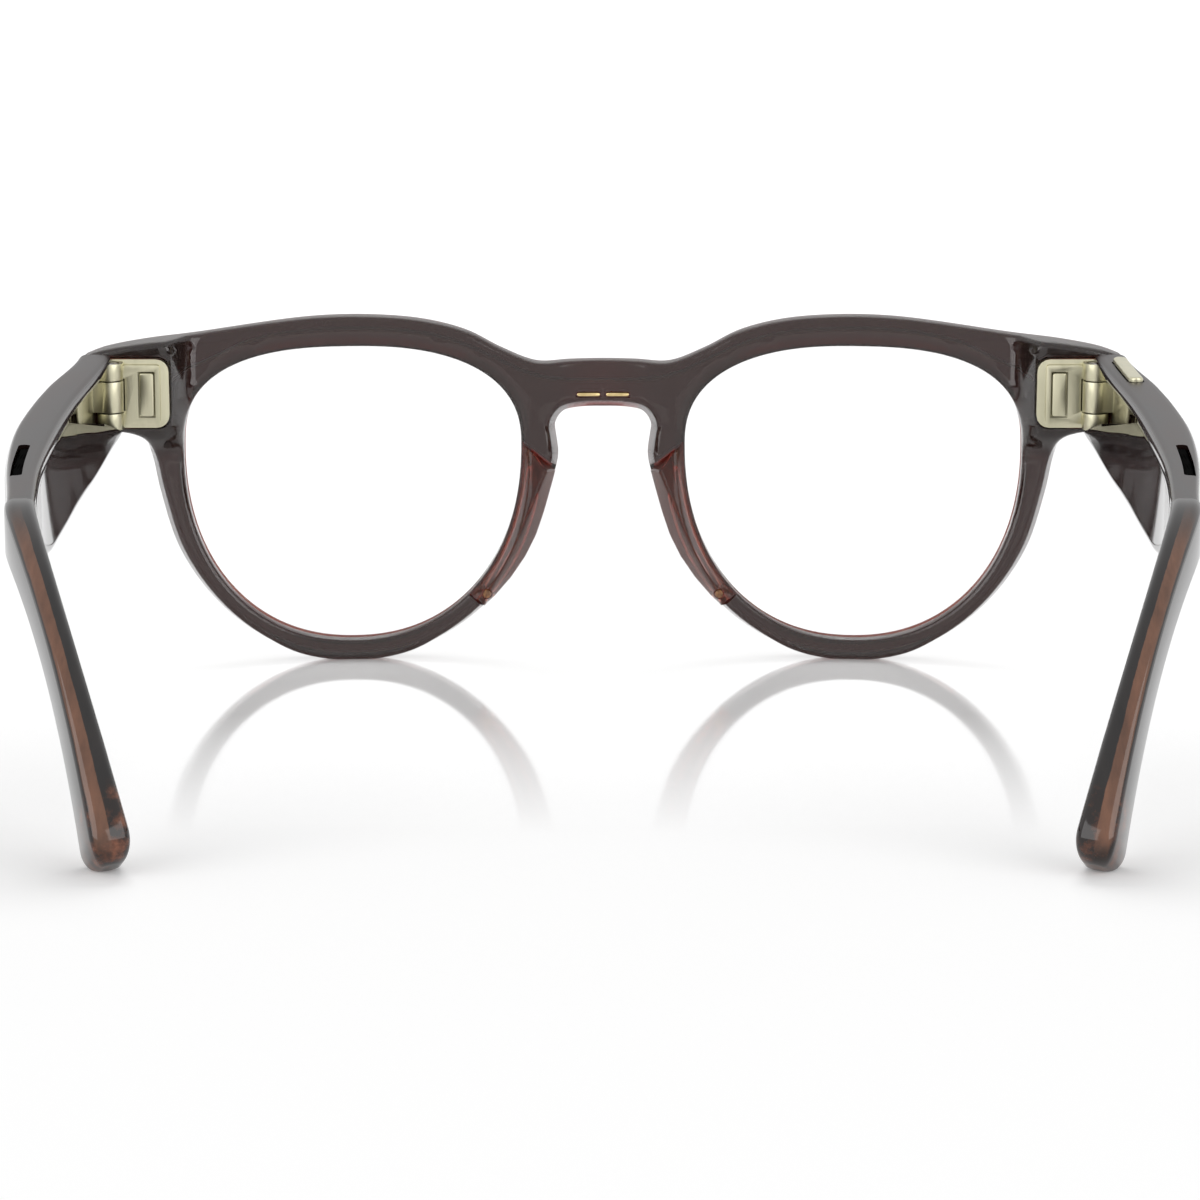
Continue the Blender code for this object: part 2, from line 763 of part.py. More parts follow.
def temple_line(end_height):
    """The middle line of the right temple, from ahead of its front end to the tip, as fine points."""
    start = Vector((HINGE_X + PATH_X, HINGE_Y, HINGE_Z))
    knots = [start + FORWARD * LINE_LEAD, start]
    knots += [start + Vector((out, 0, 0)) - FORWARD * SEAM * share for share, out in BOW]
    straight = spaced(smooth(knots, False, FINE_STEPS), LINE_POINTS, False)
    along = (straight[-1] - straight[-2]).normalized()
    turn = math.atan2(-along.x, -along.y) + TIP_TURN
    fall = math.asin(-along.z) + TIP_FALL
    down = Vector((-math.sin(turn) * math.cos(fall), -math.cos(turn) * math.cos(fall), -math.sin(fall)))
    end = Vector((start.x - TIP_INSET, HINGE_Y - TIP_BACK, end_height))
    p0, p1, p2 = straight[-1], straight[-1] + along * BEND_START, end - down * BEND_END
    bend = []
    for k in range(1, BEND_POINTS + 1):
        t = k / BEND_POINTS
        q0, q1, q2 = p0.lerp(p1, t), p1.lerp(p2, t), p2.lerp(end, t)
        bend.append(q0.lerp(q1, t).lerp(q1.lerp(q2, t), t))
    return straight + bend


class Temple:
    """Places a point by its distance along the temple, outwards and up from the temple's middle line."""

    def __init__(self, side):
        self.side = side
        height = 0.0
        for _ in range(3):
            self.follow(temple_line(height))
            height -= self.lowest() + TIP_FOOT

    def follow(self, line):
        self.line = line
        self.reach = [-LINE_LEAD]
        for a, b in zip(line, line[1:]):
            self.reach.append(self.reach[-1] + (b - a).length)
        self.length = self.reach[-1]

    def lowest(self):
        """The height of the tip's lowest corner."""
        return min(p.z for p in self.tip().points)

    def tip(self):
        """The tip's solid, before its foot is cut flat."""
        stations = steps_between(SEAM + FIT, self.length - TIP_ROUND, 12)
        stations += [self.length - TIP_ROUND * k for k in TIP_END_STEPS]
        return self.sweep(stations, tip_section(self.length))

    def axes(self, s):
        """The middle point, outward and upward directions at a distance along."""
        at = 0
        while at < len(self.line) - 2 and self.reach[at + 1] < s:
            at += 1
        share = (s - self.reach[at]) / (self.reach[at + 1] - self.reach[at])
        before, after = max(at - 3, 0), min(at + 4, len(self.line) - 1)
        along = (self.line[after] - self.line[before]).normalized()
        level = Vector((-along.y, along.x, 0)).normalized()
        across = Vector((1, 0, 0))
        leaning = (across - along * along.x).normalized()
        out = level.lerp(leaning, TIP_ROLL).normalized()
        return self.line[at].lerp(self.line[at + 1], share), out, along.cross(out)

    def place(self, s, a, b):
        middle, out, up = self.axes(s)
        p = middle + out * a + up * b
        return Vector((self.side * p.x, p.y, p.z))

    def sweep(self, stations, section):
        """A solid whose section at each distance is a list of outward and upward places."""
        return Shape().loft([[self.place(s, p.x, p.y) for p in section(s)] for s in stations])

    def box(self, s0, s1, a0, a1, b0, b1, steps=1):
        """A block along the temple."""
        outline = rounded(a0, a1, b0, b1, SQUARE)
        return self.sweep([s0 + (s1 - s0) * k / steps for k in range(steps + 1)], lambda s: outline)


def half_thick(s):
    """Half of the temple's thickness: it swells behind the hinge and narrows to the tip."""
    swelled = FRONT_THICK + 2 * SWELL * ease(s / SWELL_END)
    narrow = ease((s - TAPER_START) / (SEAM - TAPER_START))
    return (swelled + (SEAM_THICK - swelled) * narrow) / 2


def parting(s):
    """Where the inner cover meets the outer shell."""
    return COVER_THICK - half_thick(s)


def wall_inside(s):
    """The inner face of the shell's outer wall."""
    return half_thick(s) - TEMPLE_WALL


def steps_between(low, high, count):
    return [low + (high - low) * k / count for k in range(count + 1)]


def foot(s):
    """How far the underside lies below the middle line: it drops behind the hinge and rises to the tip."""
    grown_by = FOOT_GROWTH * ease((s - FOOT_START) / (FOOT_END - FOOT_START))
    return TEMPLE_FOOT + grown_by - FOOT_FALL * ease((s - FALL_START) / (SEAM - FALL_START))


def ramp(s):
    """The sloping floor of the recess behind the hinge, which lets the hinge leaf be seen and reached."""
    share = (s - POCKET_END) / (RAMP_END - POCKET_END)
    return RAMP_IN - (RAMP_IN + half_thick(RAMP_END)) * share


def whole_section(s):
    h = half_thick(s)
    return rounded(-h, h, -foot(s), TEMPLE_TOP, (TEMPLE_ROUND,) * 4)


def cover_section(s):
    """A panel in the inner face, between the rounded edges above and below."""
    return rounded(-half_thick(s), parting(s), COVER_EDGE - foot(s), TEMPLE_TOP - COVER_EDGE, SQUARE)


def cover_space(s):
    low, high = COVER_EDGE - FIT - foot(s), TEMPLE_TOP - COVER_EDGE + FIT
    return rounded(-half_thick(s) - OVERRUN, parting(s) + FIT, low, high, SQUARE)


def ramp_section(s):
    low = POCKET_LOW + (RAMP_REAR - POCKET_LOW) * (s - POCKET_END) / (RAMP_END - POCKET_END)
    return rounded(-half_thick(s) - OVERRUN, ramp(s), -low, POCKET_HIGH, SQUARE)


def front_cavity_section(s):
    return rounded(ramp(s) + RAMP_WALL, wall_inside(s), -CAVITY_TOP, CAVITY_TOP, SQUARE)


def cavity_foot(s):
    """How far the cavity's floor lies below the middle line."""
    return min(CAVITY_TOP, foot(s) - ROOF)


def cavity_section(s):
    return rounded(parting(s) - FIT, wall_inside(s), -cavity_foot(s), CAVITY_TOP, SQUARE)


def core_section(extra):
    return lambda s: rounded(
        CORE_OUT - CORE_THICK / 2 - extra, CORE_OUT + CORE_THICK / 2 + extra,
        CORE_UP - CORE_HALF - extra, CORE_UP + CORE_HALF + extra, SQUARE,
    )


def tip_section(length):
    """The tip's section: narrowest in the bend, then growing, and closing in a rounded end."""

    def section(s):
        share = (s - SEAM) / (length - SEAM)
        top = TEMPLE_TOP + (TIP_HALF - TEMPLE_TOP) * ease(share)
        low = foot(SEAM) + (TIP_HALF - foot(SEAM)) * ease((share - TIP_GROW) / (1 - TIP_GROW))
        thick = SEAM_THICK + (TIP_THICK - SEAM_THICK) * share - TIP_WAIST * math.sin(math.pi * share)
        h = thick / 2
        near_end = max((s - (length - TIP_ROUND)) / TIP_ROUND, 0.0)
        lost = 1 - math.sqrt(1 - near_end**2)
        h -= TIP_END_ROUND * lost
        inset = TIP_ROUND * lost
        return rounded(-h, h, inset - low, top - inset, (min(TIP_CORNER, h - HAIR),) * 4)

    return section


def pad_width(edge, normal, outline):
    """The rim's width from the lens edge to the outline."""
    far = edge + normal * LENS_HEIGHT
    hits = [intersect_line_line_2d(edge, far, a, b) for a, b in zip(outline, outline[1:] + outline[:1])]
    return min((hit - edge).length for hit in hits if hit)


def pad_outline(share, outline, extra):
    """The nose pad's section at a share of its length: out from the lens edge, and depth behind the front."""
    turn = PAD_FROM + (PAD_TO - PAD_FROM) * share
    edge, normal = lens_edge(turn)
    width = pad_width(edge, normal, outline)
    full = math.sin(math.pi * min(max(share, 0.0), 1.0)) ** PAD_SWELL_POWER
    slope, proud = (0.0 if extra else PAD_SLOPE * full), PAD_PROUD * full
    front = width + PAD_SPREAD * full + extra
    back = RIM_DEPTH + proud + extra
    section = (
        (PAD_INSET - extra, PAD_SHELF - extra), (PAD_STEP - extra, PAD_SHELF - extra),
        (PAD_STEP - extra, PAD_FLOOR - extra), (front, PAD_FLOOR - extra), (front, PAD_FLOOR + PAD_EDGE),
        (front - slope, back - PAD_EDGE / 2), (front - slope - PAD_EDGE / 2, back),
        (PAD_INSET + PAD_EDGE, RIM_DEPTH + proud * PAD_CREST + extra),
        (PAD_INSET - extra, RIM_DEPTH - FIT + extra),
    )
    return edge, normal, section


def pad_ring(side, share, outline, extra):
    """The corners of one section in place, and a point inside it. The top end slants towards the nose."""
    section = pad_outline(share, outline, extra)[2]
    width = section[3][0]
    ring = []
    for corner, (out, _) in enumerate(section):
        slant = PAD_SLANT * (1 - share) * out / width
        edge, normal, moved = pad_outline(share + slant, outline, extra)
        out, depth = moved[corner]
        p = edge + normal * out
        ring.append(Vector((side * p.x, front_y(p.x, p.y) - depth, p.y)))
    return ring, ring[2].lerp(ring[6], 0.5)


def pad_shape(side, outline, extra):
    """A nose pad, or with extra clearance the space that it takes in the rim."""
    overrun = extra / (LENS_HEIGHT / 2 * (PAD_TO - PAD_FROM))
    shares = steps_between(-overrun, 1 + overrun, PAD_SECTIONS - 1)
    rings = [pad_ring(side, share, outline, extra) for share in shares]
    return Shape().loft([ring for ring, _ in rings], (rings[0][1], rings[-1][1]))


def flex_line():
    """The middle line of the ribbon through the brow and bridge, from one endpiece's bore to the other's."""
    end = BORE_X - MODULE_RADIUS - GAP - FIT
    route = [Vector((end - back, BORE_Z + up)) for back, up in FLEX_ENDS]
    for turn in map(math.radians, FLEX_TURNS):
        edge, normal = lens_edge(turn)
        route.append(edge + normal * FLEX_OUT)
    bridge_middle = BRIDGE_TOP - BRIDGE_HEIGHT / 2
    route += [Vector((x, bridge_middle + up)) for x, up in FLEX_MIDDLE]
    return spaced(smooth(route + mirrored_loop(route[:-1]), False), FLEX_SECTIONS, False)


def flex_shape(width, thick, overrun):
    """The ribbon, or with an overrun the way that it runs through."""
    line = flex_line()
    if overrun:
        ends = [(line[0] - line[1]).normalized(), (line[-1] - line[-2]).normalized()]
        line = [line[0] + ends[0] * overrun] + line + [line[-1] + ends[1] * overrun]
    rings = []
    for i, p in enumerate(line):
        along = line[min(i + 1, len(line) - 1)] - line[max(i - 1, 0)]
        normal = Vector((along.y, -along.x)).normalized()
        ring = []
        for out, deep in ((-1, -1), (1, -1), (1, 1), (-1, 1)):
            q = p + normal * out * thick / 2
            ring.append(from_front(q, FLEX_DEPTH + deep * width / 2))
        rings.append(ring)
    return Shape().loft(rings)


def build_front(root):
    """The front, its lenses, contacts and the pieces in its bridge and endpieces."""
    outline = front_outline()
    right = lens_loop(LENS_POINTS)
    loops = {1: right, -1: mirrored_loop(right)}
    front = solid("front_frame", front_shape(outline, loops.values()), "frame_plastic", root)
    cut(front, flex_shape(FLEX_WIDTH + 2 * GAP, FLEX_THICK + 2 * GAP, 2 * GAP), "flex_way", root)
    solid("front_flex", flex_shape(FLEX_WIDTH, FLEX_THICK, 0), "flex_amber", root)
    for side, word in ((-1, "left"), (1, "right")):
        solid(f"lens_{word}", lens_shape(loops[side]), "lens_clear", root)
        build_nose_pad(front, outline, side, word, root)
        build_contact(front, side, word, root)
        build_bore(front, side, word, root)
        build_hinge_front(front, side, word, root)
    return front


def build_nose_pad(front, outline, side, word, root):
    """A pad in its recess, with the pin that holds its lower end."""
    pad = solid(f"nose_pad_{word}", pad_shape(side, outline, 0), "pad_plastic", root)
    cut(front, pad_shape(side, outline, GAP), f"pad_space_{word}", root)
    edge, normal, section = pad_outline(PAD_PIN_AT, outline, 0)
    middle = edge + normal * (section[1][0] + section[6][0] + FIT) / 2
    place = front_place(side)
    pin = circle(middle.x, middle.y, PAD_PIN_RADIUS, PAD_PIN_SIDES)
    hole = circle(middle.x, middle.y, PAD_PIN_RADIUS + FIT, PAD_PIN_SIDES)
    head = section[6][1] - GAP
    solid(f"nose_pad_pin_{word}", prism(pin, place, LENS_EDGE, head), "gold_contact", root)
    for target in (front, pad):
        cut(target, prism(hole, place, LENS_EDGE - GAP, head + 2 * OVERRUN), f"pin_hole_{word}", root)


def build_contact(front, side, word, root):
    """A charging contact set into the rear of the bridge, just above the keyhole."""
    z = KEYHOLE_TOP + CONTACT_RISE
    x0, half = CONTACT_APART / 2, CONTACT_HEIGHT / 2
    place = front_place(side)
    face = RIM_DEPTH - SADDLE_DEPTH
    low, high = face - CONTACT_SINK, face + CONTACT_PROUD
    strip = rounded(x0, x0 + CONTACT_LENGTH, z - half, z + half, (half - HAIR,) * 4, 2)
    solid(f"charging_contact_{word}", prism(strip, place, low, high), "gold_contact", root)
    seat = rounded(x0 - FIT, x0 + CONTACT_LENGTH + FIT, z - half - FIT, z + half + FIT, SQUARE)
    cut(front, prism(seat, place, low - FIT, high + OVERRUN), f"contact_seat_{word}", root)


def build_bore(front, side, word, root):
    """The stepped bore in an endpiece: a camera on the left, a light on the right, each behind a window."""
    place = bore_place(side)
    seat_depth = WINDOW_THICK + 2 * GAP
    end = seat_depth + BARREL_LENGTH + MODULE_LENGTH + GAP
    wide = circle(BORE_X, BORE_Z, WINDOW_RADIUS + FIT)
    narrow = circle(BORE_X, BORE_Z, MODULE_RADIUS + FIT)
    cut(front, prism(wide, place, -2 * OVERRUN, seat_depth), f"window_seat_{word}", root)
    cut(front, prism(narrow, place, seat_depth - BITE, end), f"module_bore_{word}", root)
    window = circle(BORE_X, BORE_Z, WINDOW_RADIUS)
    names = {-1: "camera_window", 1: "capture_light_window"}
    solid(names[side], prism(window, place, GAP, GAP + WINDOW_THICK), "window_glass", root)
    body = circle(BORE_X, BORE_Z, MODULE_RADIUS)
    if side < 0:
        start = seat_depth + BARREL_LENGTH
        barrel = circle(BORE_X, BORE_Z, BARREL_RADIUS)
        camera = solid("camera_module", prism(body, place, start, end - GAP), "black_plastic", root)
        join(camera, prism(barrel, place, seat_depth, start + BITE), "barrel", root)
    else:
        start = end - GAP - LIGHT_BOARD
        lamp = circle(BORE_X, BORE_Z, LIGHT_RADIUS)
        light = solid("capture_light", prism(body, place, start, end - GAP), "board_green", root)
        join(light, prism(lamp, place, start - LIGHT_HEIGHT, start + BITE), "lamp", root)


def facing(place):
    """Turns an outline in outward and upward places into a prism that runs forwards."""
    return lambda x, z, y: place(x, y, z)


def leaning(place):
    """Turns an outline in forward and upward places into a prism running outwards that leans rearwards."""
    return lambda y, z, x: place(x - y * LEAF_LEAN / LEAF_LENGTH, y, z)


def tongue(back, ahead, half, rear_low, rear_high):
    """The hinge leaf's outline in forward and upward places: straight, then narrowing to the rear."""
    r = LEAF_ROUND
    foot_end = arc(r - back, r - rear_low, r, 180, 270, 5)
    front = [Vector(c) for c in ((0, -half), (ahead, -half), (ahead, half), (0, half))]
    return foot_end + front + arc(r - back, rear_high - r, r, 90, 180, 5)


def build_hinge_front(front, side, word, root):
    """The hinge plate on an endpiece, with its stepped block, panel, two knuckles and screw."""
    place = hinge_place(side)
    to_plate = facing(place)
    seat_floor = AXIS_BACK + PLATE_SINK
    back = seat_floor - PLATE_THICK
    inner, outer = PLATE_REACH - PLATE_WIDTH, PLATE_REACH
    r, e = PLATE_ROUND, PLATE_EDGE
    flat = rounded(inner, outer, -HINGE_HALF, HINGE_HALF, (r, e, e, r), 4)
    plate = solid(f"hinge_front_plate_{word}", prism(flat, to_plate, back, seat_floor), "hinge_metal", root)
    tall = HINGE_HALF + GAP
    seat = rounded(inner - GAP, outer + GAP, -tall, tall, (r + GAP, 0, 0, r + GAP), 4)
    cut(front, prism(seat, to_plate, back - OVERRUN, seat_floor + GAP), f"hinge_seat_{word}", root)

    block_x = inner + BLOCK_INSET
    block_half = HINGE_HALF - BLOCK_SHORT
    block = rounded(block_x, block_x + BLOCK_WIDTH, -block_half, block_half, (e,) * 4, 2)
    block_back = back - BLOCK_THICK
    join(plate, prism(block, to_plate, block_back, back + BITE), "block", root)
    panel_x = block_x + HINGE_COVER_INSET
    panel_end = panel_x + HINGE_COVER_WIDTH
    panel_half = HINGE_COVER_HEIGHT / 2
    panel = rounded(panel_x, panel_end, -panel_half, panel_half, (HINGE_COVER_ROUND,) * 4, 2)
    wide = rounded(panel_x - FIT, panel_end + FIT, -panel_half - FIT, panel_half + FIT, SQUARE)
    panel_front = block_back + HINGE_COVER_SINK
    panel_shape = prism(panel, to_plate, panel_front - HINGE_COVER_THICK, panel_front)
    solid(f"hinge_cover_{word}", panel_shape, "hinge_metal", root)
    cut(plate, prism(wide, to_plate, block_back - OVERRUN, panel_front + FIT), "panel_seat", root)

    low, high = MIDDLE_HALF + FIT, HINGE_HALF - FIT
    notch = circle(0, 0, KNUCKLE_RADIUS + GAP, KNUCKLE_SIDES)
    notch_half = MIDDLE_HALF + FIT / 2
    cut(plate, prism(notch, place, -notch_half, notch_half), "notch", root)
    knuckle = circle(0, 0, KNUCKLE_RADIUS, KNUCKLE_SIDES)
    web_in, web_out = -KNUCKLE_RADIUS * WEB_WIDTH, PLATE_REACH - BITE
    web = rounded(web_in, web_out, 0, back + BITE, SQUARE)
    for sign, label in ((-1, "low"), (1, "high")):
        spans = sorted((sign * low, sign * high))
        join(plate, prism(knuckle, place, *spans), f"knuckle_{label}", root)
        join(plate, prism(web, place, spans[0] + HAIR, spans[1] - HAIR), f"web_{label}", root)
    bore = circle(0, 0, SCREW_RADIUS + SCREW_FIT, KNUCKLE_SIDES)
    cut(plate, prism(bore, place, -HINGE_HALF - OVERRUN, HINGE_HALF + OVERRUN), "screw_bore", root)
    head_seat = circle(0, 0, SCREW_HEAD_RADIUS + FIT, KNUCKLE_SIDES)
    head_low = high - SCREW_HEAD_HEIGHT
    cut(plate, prism(head_seat, place, head_low - FIT, high + OVERRUN), "head_seat", root)

    shank = circle(0, 0, SCREW_RADIUS, KNUCKLE_SIDES)
    head = circle(0, 0, SCREW_HEAD_RADIUS, KNUCKLE_SIDES)
    steps = ((shank, -high), (shank, head_low), (head, head_low), (head, high - HAIR))
    screw = Shape().loft([[place(p.x, p.y, z) for p in outline] for outline, z in steps])
    solid(f"hinge_screw_{word}", screw, "screw_steel", root)


def build_hinge_leaf(side, word, body):
    """The temple's half of the hinge: the middle knuckle and a leaf along the inside of the outer wall."""
    place = hinge_place(side)
    leaf = tongue(LEAF_LENGTH, LEAF_AHEAD, HINGE_HALF - PLATE_EDGE, LEAF_REAR_LOW, LEAF_REAR_HIGH)
    leaf_shape = prism(leaf, leaning(place), LEAF_X, LEAF_X + LEAF_THICK)
    plate = solid(f"hinge_temple_plate_{word}", leaf_shape, "hinge_metal", body)
    middle = MIDDLE_HALF
    knuckle = circle(0, 0, KNUCKLE_RADIUS, KNUCKLE_SIDES)
    join(plate, prism(knuckle, place, -middle, middle), "knuckle", body)
    web = rounded(0, LEAF_X + BITE, *LEAF_WEB, SQUARE)
    join(plate, prism(web, place, HAIR - middle, middle - HAIR), "web", body)
    bore = circle(0, 0, SCREW_RADIUS + SCREW_FIT, KNUCKLE_SIDES)
    cut(plate, prism(bore, place, -middle - OVERRUN, middle + OVERRUN), "screw_bore", body)


def build_temple(side, word, body):
    """A temple: shell, cover, tip and core, and what both sides hold inside."""
    temple = Temple(side)
    stations = steps_between(TEMPLE_FRONT, SEAM, 18)
    shell = solid(f"temple_shell_{word}", temple.sweep(stations, whole_section), "frame_plastic", body)
    cover_end = SEAM - COVER_SHORT
    covered = steps_between(COVER_FROM, cover_end, 12)
    cover = solid(f"temple_cover_{word}", temple.sweep(covered, cover_section), "cover_plastic", body)
    behind = steps_between(COVER_FROM - GAP, cover_end + GAP, 13)
    cut(shell, temple.sweep(behind, cover_space), "cover_space", body)
    hollow = steps_between(COVER_FROM, CAVITY_END, 11)
    cut(shell, temple.sweep(hollow, cavity_section), "cavity", body)
    front_hollow = steps_between(CAVITY_FROM, COVER_FROM + BITE, 4)
    cut(shell, temple.sweep(front_hollow, front_cavity_section), "front_cavity", body)
    pocket = tongue(POCKET_END, AXIS_BACK + OVERRUN, POCKET_HALF, POCKET_LOW, POCKET_HIGH)
    through = prism(pocket, leaning(hinge_place(side)), -HINGE_INSET - OVERRUN, POCKET_X)
    cut(shell, through, "hinge_pocket", body)
    slope = steps_between(POCKET_END - LEAF_ROUND, RAMP_END, 6)
    for target in (shell, cover):
        cut(target, temple.sweep(slope, ramp_section), "ramp", body)

    tip_shape = temple.tip()
    for p in tip_shape.points:
        p.z = max(p.z, 0.0)
    tip = solid(f"temple_tip_{word}", tip_shape, "tip_plastic", body)
    core_line = steps_between(CORE_FROM, CORE_TO, 14)
    solid(f"tip_core_{word}", temple.sweep(core_line, core_section(0)), "screw_steel", body)
    way = steps_between(CAVITY_END - OVERRUN, CORE_TO + FIT, 15)
    for target in (shell, tip):
        cut(target, temple.sweep(way, core_section(FIT)), "core_way", body)

    build_hinge_leaf(side, word, body)
    build_speaker(temple, shell, word, body)
    return temple, shell


def build_speaker(temple, shell, word, body):
    """The speaker under its slot and grille on top of the temple, and a microphone behind it."""
    s0, s1 = SPEAKER
    inner, outer = parting(s1) + FIT + GAP, wall_inside(s1) - GAP
    low = GAP - cavity_foot(s1)
    speaker = temple.box(s0, s1, inner, outer, low, CAVITY_TOP - SPEAKER_DROP, 4)
    solid(f"speaker_{word}", speaker, "black_plastic", body)
    g0, g1 = GRILLE_FROM, GRILLE_FROM + GRILLE_LENGTH
    a0, a1 = GRILLE_OUT - GRILLE_WIDTH / 2, GRILLE_OUT + GRILLE_WIDTH / 2
    slot = temple.box(g0, g1, a0, a1, CAVITY_TOP - OVERRUN, TEMPLE_TOP + OVERRUN, 4)
    cut(shell, slot, "grille_slot", body)
    top = TEMPLE_TOP - GRILLE_SINK
    grille = temple.box(g0 + FIT, g1 - FIT, a0 + FIT, a1 - FIT, top - GRILLE_THICK, top, 4)
    solid(f"speaker_grille_{word}", grille, "black_plastic", body)
    m0, m1 = MICROPHONE
    inner, outer = parting(m1) + FIT + GAP, wall_inside(m1) - GAP
    low = GAP - cavity_foot(m1)
    can = temple.box(m0, m1, inner, outer, low, low + MICROPHONE_HEIGHT)
    solid(f"microphone_{word}", can, "cell_silver", body)


def board(temple, span, a0, a1, name, finish, body, steps=6):
    """A flat piece in the cavity, as tall as the cavity allows."""
    high = CAVITY_TOP - GAP
    solid(name, temple.box(*span, a0, a1, -high, high, steps), finish, body)


def build_left_electronics(temple, shell, body, knob_body):
    """Battery, charging board and the sliding power switch on the underside."""
    wall = min(wall_inside(s) for s in BATTERY)
    inner = max(parting(s) for s in BATTERY) + FIT + GAP
    board(temple, BATTERY, inner, wall - GAP, "battery", "cell_silver", body)
    wall = min(wall_inside(s) for s in CHARGE_BOARD) - GAP
    board(temple, CHARGE_BOARD, wall - BOARD_THICK, wall, "charge_board", "board_green", body, 3)

    k0, k1 = KNOB_FROM, KNOB_FROM + KNOB_LENGTH
    end = k1 + KNOB_TRAVEL
    skin, ceiling = -foot(k0), -CAVITY_TOP
    a0, a1 = KNOB_OUT - KNOB_WIDTH / 2, KNOB_OUT + KNOB_WIDTH / 2
    recess = temple.box(k0 - GAP, end + GAP, a0 - FIT, a1 + FIT, skin - OVERRUN, skin + KNOB_SINK, 2)
    cut(shell, recess, "knob_recess", body)
    middle = (k0 + k1) / 2
    stem0, stem1 = middle - KNOB_STEM / 2, middle + KNOB_STEM / 2
    w0, w1 = KNOB_OUT - KNOB_STEM / 2, KNOB_OUT + KNOB_STEM / 2
    slot = temple.box(
        stem0 - GAP, stem1 + KNOB_TRAVEL + GAP, w0 - FIT, w1 + FIT, skin - OVERRUN, ceiling + OVERRUN, 2
    )
    cut(shell, slot, "knob_slot", body)
    grip = temple.box(k0, k1, a0, a1, skin - KNOB_PROUD, skin + KNOB_SINK - FIT)
    knob = solid("power_switch_knob", grip, "black_plastic", knob_body)
    for k in (-1, 0, 1):
        r0 = middle + k * RIDGE_STEP - RIDGE_WIDTH / 2
        ridge = temple.box(
            r0, r0 + RIDGE_WIDTH, a0 + FIT, a1 - FIT, skin - KNOB_PROUD - RIDGE_HEIGHT, skin
        )
        join(knob, ridge, f"ridge_{k + 2}", knob_body)
    join(knob, temple.box(stem0, stem1, w0, w1, skin, ceiling), "stem", knob_body)
    base = temple.box(k0, end, a0, a1, ceiling + GAP, ceiling + GAP + SWITCH_BASE, 2)
    solid("power_switch_base", base, "black_plastic", body)


def build_right_electronics(temple, shell, body, button_body):
    """Main board with its shield, touch sensor and the capture button with its switch."""
    wall = min(wall_inside(s) for s in MAIN_BOARD) - GAP
    board(temple, TOUCH, wall - TOUCH_THICK, wall, "touch_sensor", "flex_amber", body)
    face = wall - TOUCH_THICK - GAP
    board(temple, MAIN_BOARD, face - BOARD_THICK, face, "main_board", "board_green", body)
    low = face - BOARD_THICK - GAP
    high = CAVITY_TOP - SHIELD_SHORT
    shield = temple.box(*SHIELD, low - SHIELD_THICK, low, -high, high, 3)
    solid("processor_shield", shield, "cell_silver", body)

    s0, s1 = BUTTON_FROM, BUTTON_FROM + BUTTON_LENGTH
    a0, a1 = BUTTON_OUT - BUTTON_WIDTH / 2, BUTTON_OUT + BUTTON_WIDTH / 2
    floor = TEMPLE_TOP - BUTTON_SINK
    recess = temple.box(s0 - FIT, s1 + FIT, a0 - FIT, a1 + FIT, floor, TEMPLE_TOP + OVERRUN, 4)
    cut(shell, recess, "button_recess", body)
    under = floor + BUTTON_TRAVEL + HAIR
    pill = temple.box(s0, s1, a0, a1, under, under + BUTTON_THICK, 4)
    button = solid("capture_button", pill, "hinge_metal", button_body)
    e0, e1 = STEM_AT - STEM_LENGTH / 2, STEM_AT + STEM_LENGTH / 2
    w0, w1 = STEM_OUT - STEM_WIDTH / 2, STEM_OUT + STEM_WIDTH / 2
    stem_foot = under - STEM_DROP
    hole = temple.box(e0 - FIT, e1 + FIT, w0 - FIT, w1 + FIT, CAVITY_TOP - OVERRUN, floor + BITE)
    cut(shell, hole, "stem_hole", body)
    join(button, temple.box(e0, e1, w0, w1, stem_foot, under + BITE), "stem", button_body)
    top = min(stem_foot, CAVITY_TOP) - BUTTON_TRAVEL - HAIR
    c0 = CAVITY_FROM + GAP
    inner, outer = ramp(c0) + RAMP_WALL + GAP, wall_inside(c0) - GAP
    switch = temple.box(c0, c0 + SWITCH_LENGTH, inner, outer, top - SWITCH_HEIGHT, top)
    solid("capture_switch", switch, "black_plastic", body)


def centre_part(root):
    """Moves the root so that the part's box is centred front to back."""
    lows, highs = [], []
    for made in bpy.data.objects:
        if made.type != "MESH" or made.hide_render:
            continue
        offset = made.parent["at"][1] * MM
        places = [v.co.y + offset for v in made.data.vertices]
        lows.append(min(places))
        highs.append(max(places))
    root.location.y = -(min(lows) + max(highs)) / 2


def build():
    for old in list(bpy.data.objects):
        bpy.data.objects.remove(old)
    root = empty("glasses", (0, 0, 0))
    build_front(root)
    for side, word in ((-1, "left"), (1, "right")):
        body = empty(f"temple_{word}_axis", (side * HINGE_X, HINGE_Y, HINGE_Z), root)
        temple, shell = build_temple(side, word, body)
        if side < 0:
            at = temple.place(KNOB_FROM + (KNOB_LENGTH + KNOB_TRAVEL) / 2, KNOB_OUT, -foot(KNOB_FROM))
            build_left_electronics(temple, shell, body, empty("power_switch_line", at, body))
        else:
            at = temple.place(STEM_AT, BUTTON_OUT, TEMPLE_TOP)
            build_right_electronics(temple, shell, body, empty("capture_button_line", at, body))
    centre_part(root)


build()
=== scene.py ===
"""Smart glasses seen from behind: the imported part, dressed in finer forms and finished materials.

Lengths are in millimetres until a mesh is made, in the frame that the part was drawn in.
"""

import bisect
import json
import math

import bmesh
import bpy
import numpy as np
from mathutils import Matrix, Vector
from mathutils.geometry import delaunay_2d_cdt, intersect_line_line_2d

